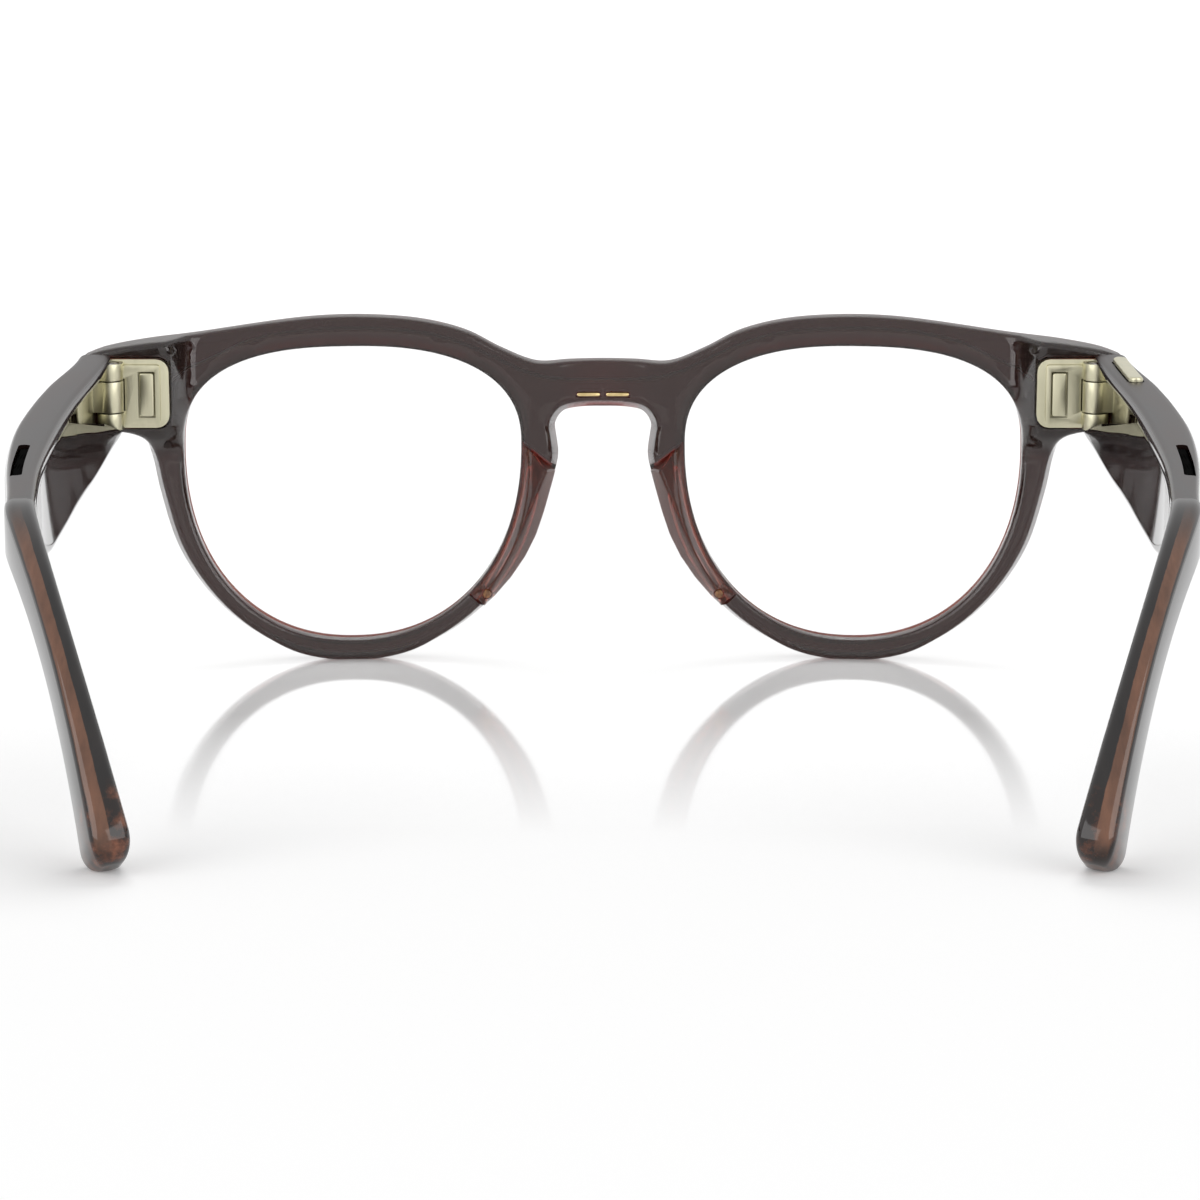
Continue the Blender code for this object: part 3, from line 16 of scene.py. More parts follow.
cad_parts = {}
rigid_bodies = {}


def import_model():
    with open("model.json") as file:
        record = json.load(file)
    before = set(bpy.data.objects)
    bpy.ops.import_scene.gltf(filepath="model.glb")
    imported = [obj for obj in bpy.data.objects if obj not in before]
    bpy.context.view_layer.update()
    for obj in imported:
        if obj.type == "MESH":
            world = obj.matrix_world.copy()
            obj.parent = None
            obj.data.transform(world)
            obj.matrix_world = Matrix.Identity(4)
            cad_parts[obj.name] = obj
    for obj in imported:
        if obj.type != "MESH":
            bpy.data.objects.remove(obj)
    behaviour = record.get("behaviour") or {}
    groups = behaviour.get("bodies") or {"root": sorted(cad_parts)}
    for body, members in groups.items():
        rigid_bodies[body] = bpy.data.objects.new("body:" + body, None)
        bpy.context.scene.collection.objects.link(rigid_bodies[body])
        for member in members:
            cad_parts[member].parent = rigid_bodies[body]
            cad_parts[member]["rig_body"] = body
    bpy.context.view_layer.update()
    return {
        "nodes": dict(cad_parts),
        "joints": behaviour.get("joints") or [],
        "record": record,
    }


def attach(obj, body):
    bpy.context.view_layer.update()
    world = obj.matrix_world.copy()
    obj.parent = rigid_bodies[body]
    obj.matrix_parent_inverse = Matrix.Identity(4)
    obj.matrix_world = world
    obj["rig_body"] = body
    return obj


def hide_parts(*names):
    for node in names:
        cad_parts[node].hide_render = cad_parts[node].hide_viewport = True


MM = 0.001
GAP = 0.3
FIT = 0.2
HAIR = 0.05
BITE = 0.4
OVERRUN = 1.0
SIDES = ((-1, "left"), (1, "right"))

# Lenses and rims
LENS_WIDTH = 48.4
LENS_HEIGHT = 42.3
LENS_SHOULDER = 7.0
LENS_BROW_POWER = 2.65
LENS_TOP_POWER = 2.4
LENS_FOOT_POWER = 2.19
LENS_APART = 23.7
LENS_DEPTH = 2.0
LENS_EDGE = 1.5
LENS_BULGE = 1.3
LENS_BEVEL = 0.9
RIM_TOP = 4.5
RIM_TEMPLE = 4.0
RIM_FOOT = 3.0
RIM_NOSE = 4.7
RIM_BRIDGE = 4.3
RIM_FALL = 4
RIM_DIP = 0.45
RIM_DEPTH = 5.0
RIM_ROUND = 0.9
LIP_ROUND = 0.6
GROOVE_DEPTH = 1.2
GROOVE_HALF = 0.9
FOOT_FLAT = 0.12
FRONT_FLARE = 0.75
FLARE_BLEND = 7
FLARE_RISE = 3.0
FRONT_ROUND_DEPTH = 2.4
FRONT_RADIUS = 380.0
FRONT_TILT = math.radians(4.0)
CORNER_WEIGHT = 5.0
RIM_TOP_TURNS = tuple(range(138, 80, -14))
RIM_FOOT_TURNS = tuple(range(350, 180, -16))

# Bridge and endpieces
BRIDGE_RISE = 19.15
BRIDGE_HEIGHT = 7.0
CROWN = ((0.0, 0.0), (4.8, 0.1), (9.6, 0.3))
KEYHOLE = ((6.5, 6.9), (6.8, 3.9), (6.95, 2.3), (5.8, 0.58), (3.27, 0.0), (0.0, -0.1))
KEYHOLE_HALF = 8.0
SADDLE_HALF = 6.9
SADDLE_DEPTH = 0.8
END_REACH = 14.35
END_HEIGHT = 11.2
END_ROUND = 1.4
END_FILLET = ((3.85, 1.15), (5.1, 3.85))
END_DEPTH = 8.0
END_STEP = 3.0
END_STEP_OUT = 1.8
END_FADE = 4.0
BROW_FROM = math.radians(58.0)
BROW_SHARES = (0.3, 0.6, 0.85)
BROW_POWER = 2.0

# Hinges
HINGE_RISE = 15.35
HINGE_INSET = 4.6
TEMPLE_SLOPE = math.radians(3.5)
KNUCKLE_RADIUS = 1.9
HINGE_HALF = 4.95
PLATE_WIDTH = 9.6
PLATE_REACH = 1.4
PLATE_ROUND = 1.8
PLATE_THICK = 1.3
PLATE_SINK = 0.7
LEAF_THICK = 0.8
LEAF_LENGTH = 15.0
LEAF_LEAN = 1.0
LEAF_REAR_HIGH = 4.3
LEAF_ROUND = 1.5
POCKET_LOW = 1.4

# Temples
TEMPLE_TOP = 5.6
TEMPLE_FOOT = 6.5
TEMPLE_ROUND = 1.4
HINGE_WALL = 1.5
INNER_EDGE = 0.3
TEMPLE_WALL = 1.0
ROOF = 1.1
COVER_THICK = 1.4
COVER_FROM = 36.0
COVER_SHORT = 4.0
COVER_EDGE = 1.6
SWELL = 1.0
INNER_FRONT = 2.6
INNER_SWELL = -0.1
INNER_LEAN = 1.3
SWELL_END = 22.0
SEAM_THICK = 4.0
TAPER_START = 46.0
FOOT_GROWTH = 1.2
FOOT_START = 5.0
FOOT_END = 30.0
FOOT_FALL = 5.5
FALL_START = 67.0
SEAM = 97.0
SEAM_GAP = 0.02
BULKHEAD = 1.3
CAVITY_END = 86.0
RAMP_IN = 0.4
RAMP_END = 42.0
RAMP_REAR = -4.3
RAMP_WALL = 0.6
BOW = ((0.144, 0.45), (0.34, 1.4), (0.536, 1.6), (0.773, 0.8), (1.0, -1.2))
LINE_LEAD = 10.0
TIP_BACK = 130.6
TIP_INSET = 14.95
TIP_FALL = math.radians(61.7)
TIP_TURN = math.radians(27.8)
BEND_START = 6.0
BEND_END = 26.8
TIP_HALF = 4.85
TIP_GROW = 0.18
TIP_THICK = 5.1
TIP_WAIST = 1.24
TIP_ROUND = 3.4
TIP_END_ROUND = 1.6
TIP_CORNER = 1.3
TIP_FOOT = 0.2
TIP_ROLL = 0.5
TIP_FLECKS = 9.0
TIP_FADE = 2.0
# Length over which the tips' painted light band fades in from the seam
TIP_DAWN = 14.0

# Nose pads, contacts and bores
PAD_FROM = math.radians(180.0)
PAD_TO = math.radians(228.0)
PAD_INSET = 0.5
PAD_STEP = 1.8
PAD_FLOOR = 2.7
PAD_SHELF = 4.0
PAD_EDGE = 0.9
PAD_SPREAD = 0.2
PAD_SLOPE = 2.0
PAD_PROUD = 2.2
PAD_CREST = 0.85
PAD_SWELL_POWER = 0.6
PAD_SLANT = 0.13
PAD_PIN_RADIUS = 0.6
PAD_PIN_AT = 0.93
CONTACT_LENGTH = 3.3
CONTACT_HEIGHT = 0.5
CONTACT_SINK = 0.7
CONTACT_PROUD = 0.3
CONTACT_APART = 0.9
CONTACT_RISE = 1.85
WINDOW_RADIUS = 3.5
WINDOW_THICK = 0.8
MODULE_RADIUS = 2.7
MODULE_LENGTH = 3.6
BARREL_LENGTH = 0.7
BORE_RISE = 0.4
BORE_INSET = 6.4

# Button, grille and switch
BUTTON_FROM = 3.5
BUTTON_LENGTH = 16.5
BUTTON_WIDTH = 2.0
BUTTON_OUT = 0.5
BUTTON_THICK = 0.65
BUTTON_SINK = 0.3
BUTTON_TRAVEL = 0.3
GRILLE_FROM = 63.5
GRILLE_LENGTH = 19.5
GRILLE_WIDTH = 1.5
GRILLE_OUT = 0.85
KNOB_FROM = 38.0
KNOB_LENGTH = 5.0
KNOB_WIDTH = 2.2
KNOB_OUT = 0.2
KNOB_SINK = 0.6
KNOB_TRAVEL = 3.0

# How finely the forms are drawn
LENS_TURNS = 1440
LENS_POINTS = 200
LENS_RINGS = (0.06, 0.2, 0.35, 0.5, 0.65, 0.8, 0.9, 1.0)
TURN_STEP = 0.01
FRONT_POINTS = 400
COARSE_POINTS = 124
END_TOP_TURN = 75
END_POINTS = 5
AHEAD_STEPS = 10
BEHIND_STEPS = 8
LIP_STEPS = 4
GRIDS = ((2.0, False), (0.7, True))
GRID_CLEAR = 0.55
FLARE_CLEAR = 0.15
STEP_FROM = 56.5
STEP_TO = 64.5
STEP_LOW = 27.5
MERGE = 1e-6
SOFT_SHARE = 0.45
LINE_STEPS = 24
LINE_POINTS = 160
BEND_POINTS = 120
AXIS_REACH = 3
DRAFT_TRIES = 3
DRAFT_TIP = (12, 3, (0.72, 0.46, 0.24, 0.1, 0.02))
PILL_ENDS = 8
PILL_STEPS = 20
PILL_THIN = 0.02
PILL_EDGE = 0.01
LEAF_POINTS = 9
PAD_SECTIONS = 30
PAD_SOFT = 0.4
BORE_SIDES = 48
PIN_SIDES = 24
SHELL_STEPS = 66
COVER_STEPS = 40
RAMP_STEPS = 18
CAVITY_STEPS = 20
FRONT_CAVITY_STEPS = 8
SLOT_STEPS = 6
BUTTON_SOFT = 0.4
TIP_STEPS = 56
TIP_CORNER_STEPS = 6
TIP_END_STEPS = 14
TIP_LAST = 0.0005
BEVEL_STEPS = 2
BEVEL_PROFILE = 0.5
WELD = 2e-6
FLAT_ANGLE = math.radians(1.0)
SHARP_ANGLE = math.radians(35)

# Corners of the nose pad's section, counted from the lens
STEP_CORNER = 1
FLOOR_CORNER = 2
NOSE_CORNER = 3
CREST_CORNER = 6

# Degrees between faces above which an edge looks sharp
PLAIN_SHARP = 38
LENS_SHARP = 50
METAL_SHARP = 30

# Noise levels at which a finish has its dark and its light tone
TONE_DARK = 0.3
TONE_LIGHT = 0.7

# Stage, in metres
FLOOR_SIZE = 16.0
FLOOR_DROP = 0.00003
FLOOR_ROUGH = 0.07
FLOOR_COAT_ROUGH = 0.06
LIFT_FROM = 0.3
LIFT_TO = 1.5
CAMERA_LENS = 142.2
CAMERA_SENSOR = 36.0
CAMERA_SHIFT = -0.0025
CAMERA_BACK = 0.6825
CAMERA_HEIGHT = 0.124
CAMERA_PITCH = math.radians(80.33)
WHITE = (1, 1, 1, 1)
FLOOR_COLOUR = (0.9, 0.9, 0.9)
FLOOR_FAR = 0.025
FLOOR_NEAR = -0.05
FLOOR_LIFT = 0.14
FLOOR_EDGE = 0.7
SKY = 0.5
LAMP_AIM = Vector((0, 0, 0.02))
# Name, place, size, watts and whether it shows in mirrors
LAMPS = (
    ("key", (0.0, 0.75, 1.0), (0.7, 0.7), 5.0, False),
    ("side_left", (-0.75, -0.7, 0.35), (1.0, 0.8), 4.6, True),
    ("side_right", (0.75, -0.7, 0.35), (1.0, 0.8), 4.6, True),
)

# Places worked out from the sizes above
LENS_X = (LENS_WIDTH + LENS_APART) / 2
LENS_Z = RIM_FOOT + LENS_HEIGHT / 2
HINGE_Z = LENS_Z + HINGE_RISE
END_X = LENS_X + LENS_WIDTH / 2 + END_REACH
HINGE_X = END_X - HINGE_INSET
BRIDGE_TOP = LENS_Z + BRIDGE_RISE
KEYHOLE_TOP = BRIDGE_TOP - BRIDGE_HEIGHT
END_TOP = HINGE_Z + END_HEIGHT / 2
END_FOOT = HINGE_Z - END_HEIGHT / 2
AXIS_BACK = KNUCKLE_RADIUS + GAP
END_FACE_Y = HINGE_Z * math.tan(FRONT_TILT) - HINGE_X**2 / (2 * FRONT_RADIUS) - END_DEPTH
HINGE_Y = END_FACE_Y - AXIS_BACK / math.cos(TEMPLE_SLOPE)
POCKET_X = AXIS_BACK + LEAF_THICK + GAP
POCKET_HALF = HINGE_HALF + FIT
OUTER_X = POCKET_X + HINGE_WALL
PATH_X = (OUTER_X - INNER_EDGE) / 2
FRONT_THICK = OUTER_X + INNER_EDGE
TEMPLE_FRONT = GAP - AXIS_BACK
POCKET_END = LEAF_LENGTH + GAP
POCKET_HIGH = LEAF_REAR_HIGH + FIT
CAVITY_FROM = POCKET_END + BULKHEAD
CAVITY_TOP = TEMPLE_TOP - ROOF
BORE_X = END_X - BORE_INSET
BORE_Z = HINGE_Z + BORE_RISE
FORWARD = Vector((0, math.cos(TEMPLE_SLOPE), math.sin(TEMPLE_SLOPE)))
UPWARD = Vector((0, -math.sin(TEMPLE_SLOPE), math.cos(TEMPLE_SLOPE)))

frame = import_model()
fold = next(j for j in frame["joints"] if j["name"] == "temple_left_fold")
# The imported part's frame is the drawing's, moved along Y.
SHIFT = Vector((0, fold["pos_m"][1] / MM - HINGE_Y, 0))


class Shape:
    """Corners and faces of a closed surface, gathered ring by ring."""

    def __init__(self):
        self.points = []
        self.faces = []

    def ring(self, points):
        start = len(self.points)
        self.points.extend(points)
        return range(start, len(self.points))

    def band(self, first, second):
        count = len(first)
        for i in range(count):
            j = (i + 1) % count
            self.faces.append((first[i], first[j], second[j], second[i]))

    def loft(self, rings, middles=None):
        made = [self.ring(points) for points in rings]
        for first, second in zip(made, made[1:]):
            self.band(first, second)
        for k, end in enumerate((made[0], made[-1])):
            if not middles:
                self.faces.append(tuple(end))
                continue
            hub = self.ring([middles[k]])[0]
            self.faces.extend((end[i - 1], end[i], hub) for i in range(len(end)))
        return self


def link_object(name, data):
    made = bpy.data.objects.new(name, data)
    bpy.context.scene.collection.objects.link(made)
    return made


def raw(name, shape):
    """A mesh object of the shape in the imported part's frame."""
    mesh = bpy.data.meshes.new(name)
    mesh.from_pydata([(p + SHIFT) * MM for p in shape.points], [], shape.faces)
    form = bmesh.new()
    form.from_mesh(mesh)
    bmesh.ops.recalc_face_normals(form, faces=form.faces)
    form.to_mesh(mesh)
    form.free()
    return link_object(name, mesh)


def cut(target, shapes):
    """Cuts the shapes out of the target, one after another."""
    helpers = [raw(f"cutter_{i}", shape) for i, shape in enumerate(shapes)]
    for helper in helpers:
        step = target.modifiers.new("cut", "BOOLEAN")
        step.operation = "DIFFERENCE"
        step.solver = "EXACT"
        step.object = helper
    graph = bpy.context.evaluated_depsgraph_get()
    mesh = bpy.data.meshes.new_from_object(target.evaluated_get(graph))
    target.modifiers.clear()
    target.data = mesh
    for helper in helpers:
        bpy.data.objects.remove(helper)


def dress(made, body, slot, nodes, finish=None, sharp=PLAIN_SHARP):
    """Shades a piece, gives it its material and sets it on its body in place of CAD nodes."""
    mesh = made.data
    mesh.materials.clear()
    mesh.materials.append(FINISHES[finish or slot])
    mesh.shade_smooth()
    mesh.set_sharp_from_angle(angle=math.radians(sharp))
    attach(made, body)
    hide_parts(*nodes)
    return made


def ease(x):
    x = min(max(x, 0.0), 1.0)
    return x * x * (3 - 2 * x)


def curve_point(p0, p1, p2, p3, t):
    t1 = (p1 - p0).length ** 0.5
    t2 = t1 + (p2 - p1).length ** 0.5
    t3 = t2 + (p3 - p2).length ** 0.5
    t = t1 + (t2 - t1) * t
    a1 = p0.lerp(p1, t / t1)
    a2 = p1.lerp(p2, (t - t1) / (t2 - t1))
    a3 = p2.lerp(p3, (t - t2) / (t3 - t2))
    b1 = a1.lerp(a2, t / t2)
    b2 = a2.lerp(a3, (t - t1) / (t3 - t1))
    return b1.lerp(b2, (t - t1) / (t2 - t1))


def smooth(points, closed, steps=12):
    """Fine points on a smooth curve through the given ones."""
    count = len(points)
    last = count if closed else count - 1
    if not closed:
        points = points + [2 * points[-1] - points[-2], 2 * points[0] - points[1]]
    fine = []
    for i in range(last):
        near = [points[(i + k) % len(points)] for k in (-1, 0, 1, 2)]
        fine.extend(curve_point(*near, j / steps) for j in range(steps))
    if not closed:
        fine.append(points[count - 1])
    return fine


def spaced(fine, count, closed, corner_weight=0.0):
    """Points spaced along a line of fine ones: evenly, or closer together where the line turns."""
    line = fine + fine[:1] if closed else fine
    reach = [0.0]
    for i, (a, b) in enumerate(zip(line, line[1:])):
        step = (b - a).length
        if corner_weight:
            step += corner_weight * abs((b - a).angle_signed(line[i] - line[i - 1] if i else b - a))
        reach.append(reach[-1] + step)
    parts = count if closed else count - 1
    found = []
    at = 0
    for k in range(count):
        goal = reach[-1] * k / parts
        while at < len(line) - 2 and reach[at + 1] < goal:
            at += 1
        share = (goal - reach[at]) / (reach[at + 1] - reach[at])
        found.append(line[at].lerp(line[at + 1], share))
    return found


def outward(loop, i):
    along = loop[(i + 1) % len(loop)] - loop[i - 1]
    return Vector((along.y, -along.x)).normalized()


def grown(loop, distance, extra=None):
    extra = extra or [0.0] * len(loop)
    return [p + outward(loop, i) * (distance + extra[i]) for i, p in enumerate(loop)]


def inside(points, loop):
    """Which of many points of the plane lie inside a closed loop."""
    p = np.array([tuple(q) for q in points])
    a = np.array([tuple(q) for q in loop])
    b = np.roll(a, -1, axis=0)
    x, y = p[:, 0:1], p[:, 1:2]
    crosses = (a[:, 1] > y) != (b[:, 1] > y)
    rise = np.where(b[:, 1] == a[:, 1], 1.0, b[:, 1] - a[:, 1])
    left = x < a[:, 0] + (y - a[:, 1]) / rise * (b[:, 0] - a[:, 0])
    return (crosses & left).sum(axis=1) % 2 == 1


def rounded(x0, x1, z0, z1, radii=(0, 0, 0, 0), steps=6):
    """A rectangle with a corner radius each at low-low, high-low, high-high and low-high."""
    corners = ((x0, z0, 180), (x1, z0, 270), (x1, z1, 0), (x0, z1, 90))
    points = []
    for (x, z, start), radius in zip(corners, radii):
        if not radius:
            points.append(Vector((x, z)))
            continue
        centre = Vector((x + (radius if x == x0 else -radius), z + (radius if z == z0 else -radius)))
        for k in range(steps + 1):
            turn = math.radians(start + 90 * k / steps)
            points.append(centre + Vector((math.cos(turn), math.sin(turn))) * radius)
    return points


def softened(loop, radius, steps=4):
    """A closed line of corners with each corner rounded off."""
    found = []
    for i, p in enumerate(loop):
        before, after = loop[i - 1] - p, loop[(i + 1) % len(loop)] - p
        start = p + before.normalized() * min(radius, before.length * SOFT_SHARE)
        end = p + after.normalized() * min(radius, after.length * SOFT_SHARE)
        for k in range(steps + 1):
            t = k / steps
            found.append(start.lerp(p, t).lerp(p.lerp(end, t), t))
    return found


def arc(x, z, radius, start, end, count):
    turns = [math.radians(start + (end - start) * k / (count - 1)) for k in range(count)]
    return [Vector((x + radius * math.cos(t), z + radius * math.sin(t))) for t in turns]


def circle(x, z, radius, sides=BORE_SIDES):
    turns = [2 * math.pi * k / sides for k in range(sides)]
    return [Vector((x + radius * math.cos(t), z + radius * math.sin(t))) for t in turns]


def lens_point(turn):
    """A point of the lens outline, about the lens centre."""
    c, s = math.cos(turn), math.sin(turn)
    height = LENS_HEIGHT / 2 + LENS_SHOULDER
    power = LENS_FOOT_POWER
    if s >= 0:
        height = LENS_HEIGHT / 2 - LENS_SHOULDER
        power = LENS_BROW_POWER if c > 0 else LENS_TOP_POWER
    x = LENS_WIDTH / 2 * math.copysign(abs(c) ** (2 / power), c)
    return Vector((x, LENS_SHOULDER + height * math.copysign(abs(s) ** (2 / power), s)))


def lens_loop(count):
    fine = [lens_point(2 * math.pi * k / LENS_TURNS) for k in range(LENS_TURNS)]
    centre = Vector((LENS_X, LENS_Z))
    return [p + centre for p in spaced(fine, count, True)]


def lens_edge(turn):
    """A point of the lens opening and the outward normal there."""
    here = lens_point(turn)
    along = lens_point(turn + TURN_STEP) - lens_point(turn - TURN_STEP)
    return here + Vector((LENS_X, LENS_Z)), Vector((along.y, -along.x)).normalized()


def rim_width(turn):
    c, s = math.cos(turn), math.sin(turn)
    if s >= 0:
        side = RIM_TEMPLE if c >= 0 else RIM_BRIDGE
        return side * c * c + RIM_TOP * s * s
    side = RIM_TEMPLE if c >= 0 else RIM_NOSE
    return RIM_FOOT + (side - RIM_FOOT) * c**RIM_FALL - RIM_DIP * math.sin(2 * turn) ** 2


def rim_points(degrees):
    found = []
    for turn in map(math.radians, degrees):
        edge, normal = lens_edge(turn)
        found.append(edge + normal * rim_width(turn))
    return found


def front_outline(corners):
    """The outer edge of the front, anticlockwise from the top of the bridge."""
    brow_start = rim_points([math.degrees(BROW_FROM)])[0]
    brow = []
    for share in BROW_SHARES:
        x = brow_start.x + (END_X - brow_start.x) * share
        brow.append(Vector((x, brow_start.y + (END_TOP - brow_start.y) * share**BROW_POWER)))
    r = END_ROUND
    end = arc(END_X - r, END_TOP - r, r, END_TOP_TURN, 0, END_POINTS)
    end += arc(END_X - r, END_FOOT + r, r, 0, -90, END_POINTS)
    end.append(Vector((HINGE_X, END_FOOT)))
    end += [Vector((HINGE_X - back, END_FOOT - down)) for back, down in END_FILLET]
    crown = [Vector((x, BRIDGE_TOP - down)) for x, down in CROWN]
    keyhole = [Vector((x, KEYHOLE_TOP - down)) for x, down in KEYHOLE]
    half = crown + rim_points(RIM_TOP_TURNS) + brow + end
    half += rim_points(RIM_FOOT_TURNS) + keyhole
    loop = [Vector((-p.x, p.y)) for p in half] + half[-2:0:-1]
    fine = smooth(loop, True)
    left = spaced(fine[:len(fine) // 2 + 1], corners // 2 + 1, False, CORNER_WEIGHT)
    lowest = min(p.y for p in left)
    left = [Vector((p.x, max(p.y - lowest - FOOT_FLAT, 0.0))) for p in left]
    return left + mirrored_loop(left[1:-1])


def front_y(x, z):
    return z * math.tan(FRONT_TILT) - x * x / (2 * FRONT_RADIUS)


def back_y(x, z):
    saddle = max(1 - (x / SADDLE_HALF) ** 2, 0.0) if z > KEYHOLE_TOP - OVERRUN else 0.0
    rim = front_y(x, z) - RIM_DEPTH + SADDLE_DEPTH * saddle
    end_face = END_FACE_Y - (z - HINGE_Z) * math.tan(TEMPLE_SLOPE)
    step_end = LENS_X + LENS_WIDTH / 2 + END_STEP_OUT
    share = ease((abs(x) - step_end) / END_STEP + 1) * ease((z - END_FOOT) / END_FADE + 1)
    return rim + (end_face - rim) * share


def from_front(p, depth):
    return Vector((p.x, front_y(p.x, p.y) - depth, p.y))


def from_back(p, depth):
    return Vector((p.x, back_y(p.x, p.y) + depth, p.y))


def mirrored_loop(loop):
    return [Vector((-p.x, p.y)) for p in loop[::-1]]


def flare_share(p, normal):
    if abs(p.x) < KEYHOLE_HALF and p.y < BRIDGE_TOP - BRIDGE_HEIGHT / 2:
        return 1.0
    if normal.y > 0 or (abs(p.x) > LENS_X and p.y > END_FOOT):
        return 0.0
    return abs(normal.x)


def flare(outline):
    """How far the rear edge stands in from the front one at each point."""
    shares = [flare_share(p, outward(outline, i)) for i, p in enumerate(outline)]
    count, reach = len(shares), range(-FLARE_BLEND, FLARE_BLEND + 1)
    found = []
    for i, p in enumerate(outline):
        share = sum(shares[(i + k) % count] for k in reach) / len(reach)
        found.append(FRONT_FLARE * share * ease(p.y / FLARE_RISE))
    return found


def fillet(radius, place, steps, depth=None):
    """Rows of an edge that rounds off: inset, placing function and depth."""
    turns = [math.pi / 2 * k / steps for k in range(steps + 1)]
    return [(radius * (1 - math.sin(t)), place, (depth or radius) * (1 - math.cos(t))) for t in turns]


def front_shape(outline, lenses):
    """The front as one solid: outer wall, two grooved lens openings and two faces."""
    shape = Shape()
    plan, plan_front, plan_back = [], [], []

    def wall(loop, sign, rows, face_inset, lean=None):
        rings = []
        for inset, place, depth in rows:
            moved = grown(loop, -sign * inset, lean if place is from_back else None)
            rings.append(shape.ring([place(p, depth) for p in moved]))
        for first, second in zip(rings, rings[1:]):
            shape.band(first, second)
        plan.append(grown(loop, -sign * face_inset))
        plan_front.extend(rings[0])
        plan_back.extend(rings[-1])

    r = RIM_ROUND
    lean = [-f for f in flare(outline)]
    ahead = fillet(r, from_front, AHEAD_STEPS, FRONT_ROUND_DEPTH)
    wall(outline, 1, ahead + fillet(r, from_back, BEHIND_STEPS)[::-1], r, lean)
    for loop in lenses:
        groove = [
            (0, from_front, LENS_DEPTH - GROOVE_HALF), (GROOVE_DEPTH, from_front, LENS_DEPTH),
            (0, from_front, LENS_DEPTH + GROOVE_HALF),
        ]
        lip_ahead = fillet(LIP_ROUND, from_front, LIP_STEPS)
        lip_behind = fillet(LIP_ROUND, from_back, LIP_STEPS)[::-1]
        wall(loop, -1, lip_ahead + groove + lip_behind, LIP_ROUND)

    edges, corners = [], []
    for loop in plan:
        start = len(corners)
        corners.extend(loop)
        edges.extend((start + i, start + (i + 1) % len(loop)) for i in range(len(loop)))
    grid = []
    top = BRIDGE_TOP + RIM_TOP
    for step, fine in GRIDS:
        reach = int(END_X / step) + 1
        for i in range(-reach, reach + 1):
            for k in range(1, int(top / step) + 1):
                x, z = i * step, k * step
                stepped = STEP_FROM < abs(x) < STEP_TO and z > STEP_LOW
                if stepped == fine:
                    grid.append((x, z, max(step * GRID_CLEAR, FRONT_FLARE + FLARE_CLEAR)))
    near = np.array([tuple(q) for q in corners])
    places = np.array(grid)
    apart = np.sqrt(((places[:, None, :2] - near[None]) ** 2).sum(axis=2)).min(axis=1)

    def within(points):
        return inside(points, plan[0]) & ~inside(points, plan[1]) & ~inside(points, plan[2])

    for x, z, _ in places[(apart > places[:, 2]) & within(places[:, :2])]:
        p = Vector((x, z))
        corners.append(p)
        plan_front.extend(shape.ring([from_front(p, 0)]))
        plan_back.extend(shape.ring([from_back(p, 0)]))
    found = delaunay_2d_cdt(corners, edges, [], 0, MERGE)
    flat, triangles, origins = found[0], found[2], found[3]
    middles = [(flat[a] + flat[b] + flat[c]) / 3 for a, b, c in triangles]
    for face, kept in zip(triangles, within(middles)):
        if kept:
            ids = [origins[k][0] for k in face]
            shape.faces.append(tuple(plan_front[k] for k in ids))
            shape.faces.append(tuple(plan_back[k] for k in reversed(ids)))
    return shape


def lens_shape(loop):
    """A curved lens with a bevelled edge that stands in the rim's groove."""
    centre = Vector((sum(p.x for p in loop), sum(p.y for p in loop))) / len(loop)
    half = LENS_EDGE / 2
    edge = grown(loop, -GAP)

    def bowl(share, depth):
        swell = LENS_BULGE * (1 - share * share)
        return [from_front(centre.lerp(p, share), depth - swell) for p in edge]

    rings = [bowl(share, LENS_DEPTH - half) for share in LENS_RINGS]
    rings.append([from_front(p, LENS_DEPTH) for p in grown(loop, LENS_BEVEL - GAP / 2)])
    rings += [bowl(share, LENS_DEPTH + half) for share in LENS_RINGS[::-1]]
    return Shape().loft(rings)


def prism(outline, place, low, high):
    return Shape().loft([[place(p.x, p.y, d) for p in outline] for d in (low, high)])


def front_place(side):
    return lambda x, z, depth: Vector((side * x, front_y(x, z) - depth, z))


def bore_place(side):
    face = front_y(BORE_X, BORE_Z)
    return lambda x, z, depth: Vector((side * x, face - depth, z))


def hinge_place(side):
    """Outwards, forwards and up from the hinge axis."""
    centre = Vector((HINGE_X, HINGE_Y, HINGE_Z))

    def place(x, y, z):
        p = centre + Vector((x, 0, 0)) + FORWARD * y + UPWARD * z
        return Vector((side * p.x, p.y, p.z))

    return place


def temple_line(end_height):
    """The middle line of the right temple, from ahead of its front end to the tip."""
    start = Vector((HINGE_X + PATH_X, HINGE_Y, HINGE_Z))
    knots = [start + FORWARD * LINE_LEAD, start]
    knots += [start + Vector((out, 0, 0)) - FORWARD * SEAM * share for share, out in BOW]
    straight = spaced(smooth(knots, False, LINE_STEPS), LINE_POINTS, False)
    along = (straight[-1] - straight[-2]).normalized()
    turn = math.atan2(-along.x, -along.y) + TIP_TURN
    fall = math.asin(-along.z) + TIP_FALL
    down = Vector((-math.sin(turn) * math.cos(fall), -math.cos(turn) * math.cos(fall), -math.sin(fall)))
    end = Vector((start.x - TIP_INSET, HINGE_Y - TIP_BACK, end_height))
    p0, p1, p2 = straight[-1], straight[-1] + along * BEND_START, end - down * BEND_END
    bend = []
    for k in range(1, BEND_POINTS + 1):
        t = k / BEND_POINTS
        q0, q1, q2 = p0.lerp(p1, t), p1.lerp(p2, t), p2.lerp(end, t)
        bend.append(q0.lerp(q1, t).lerp(q1.lerp(q2, t), t))
    return straight + bend


def steps_between(low, high, count):
    return [low + (high - low) * k / count for k in range(count + 1)]


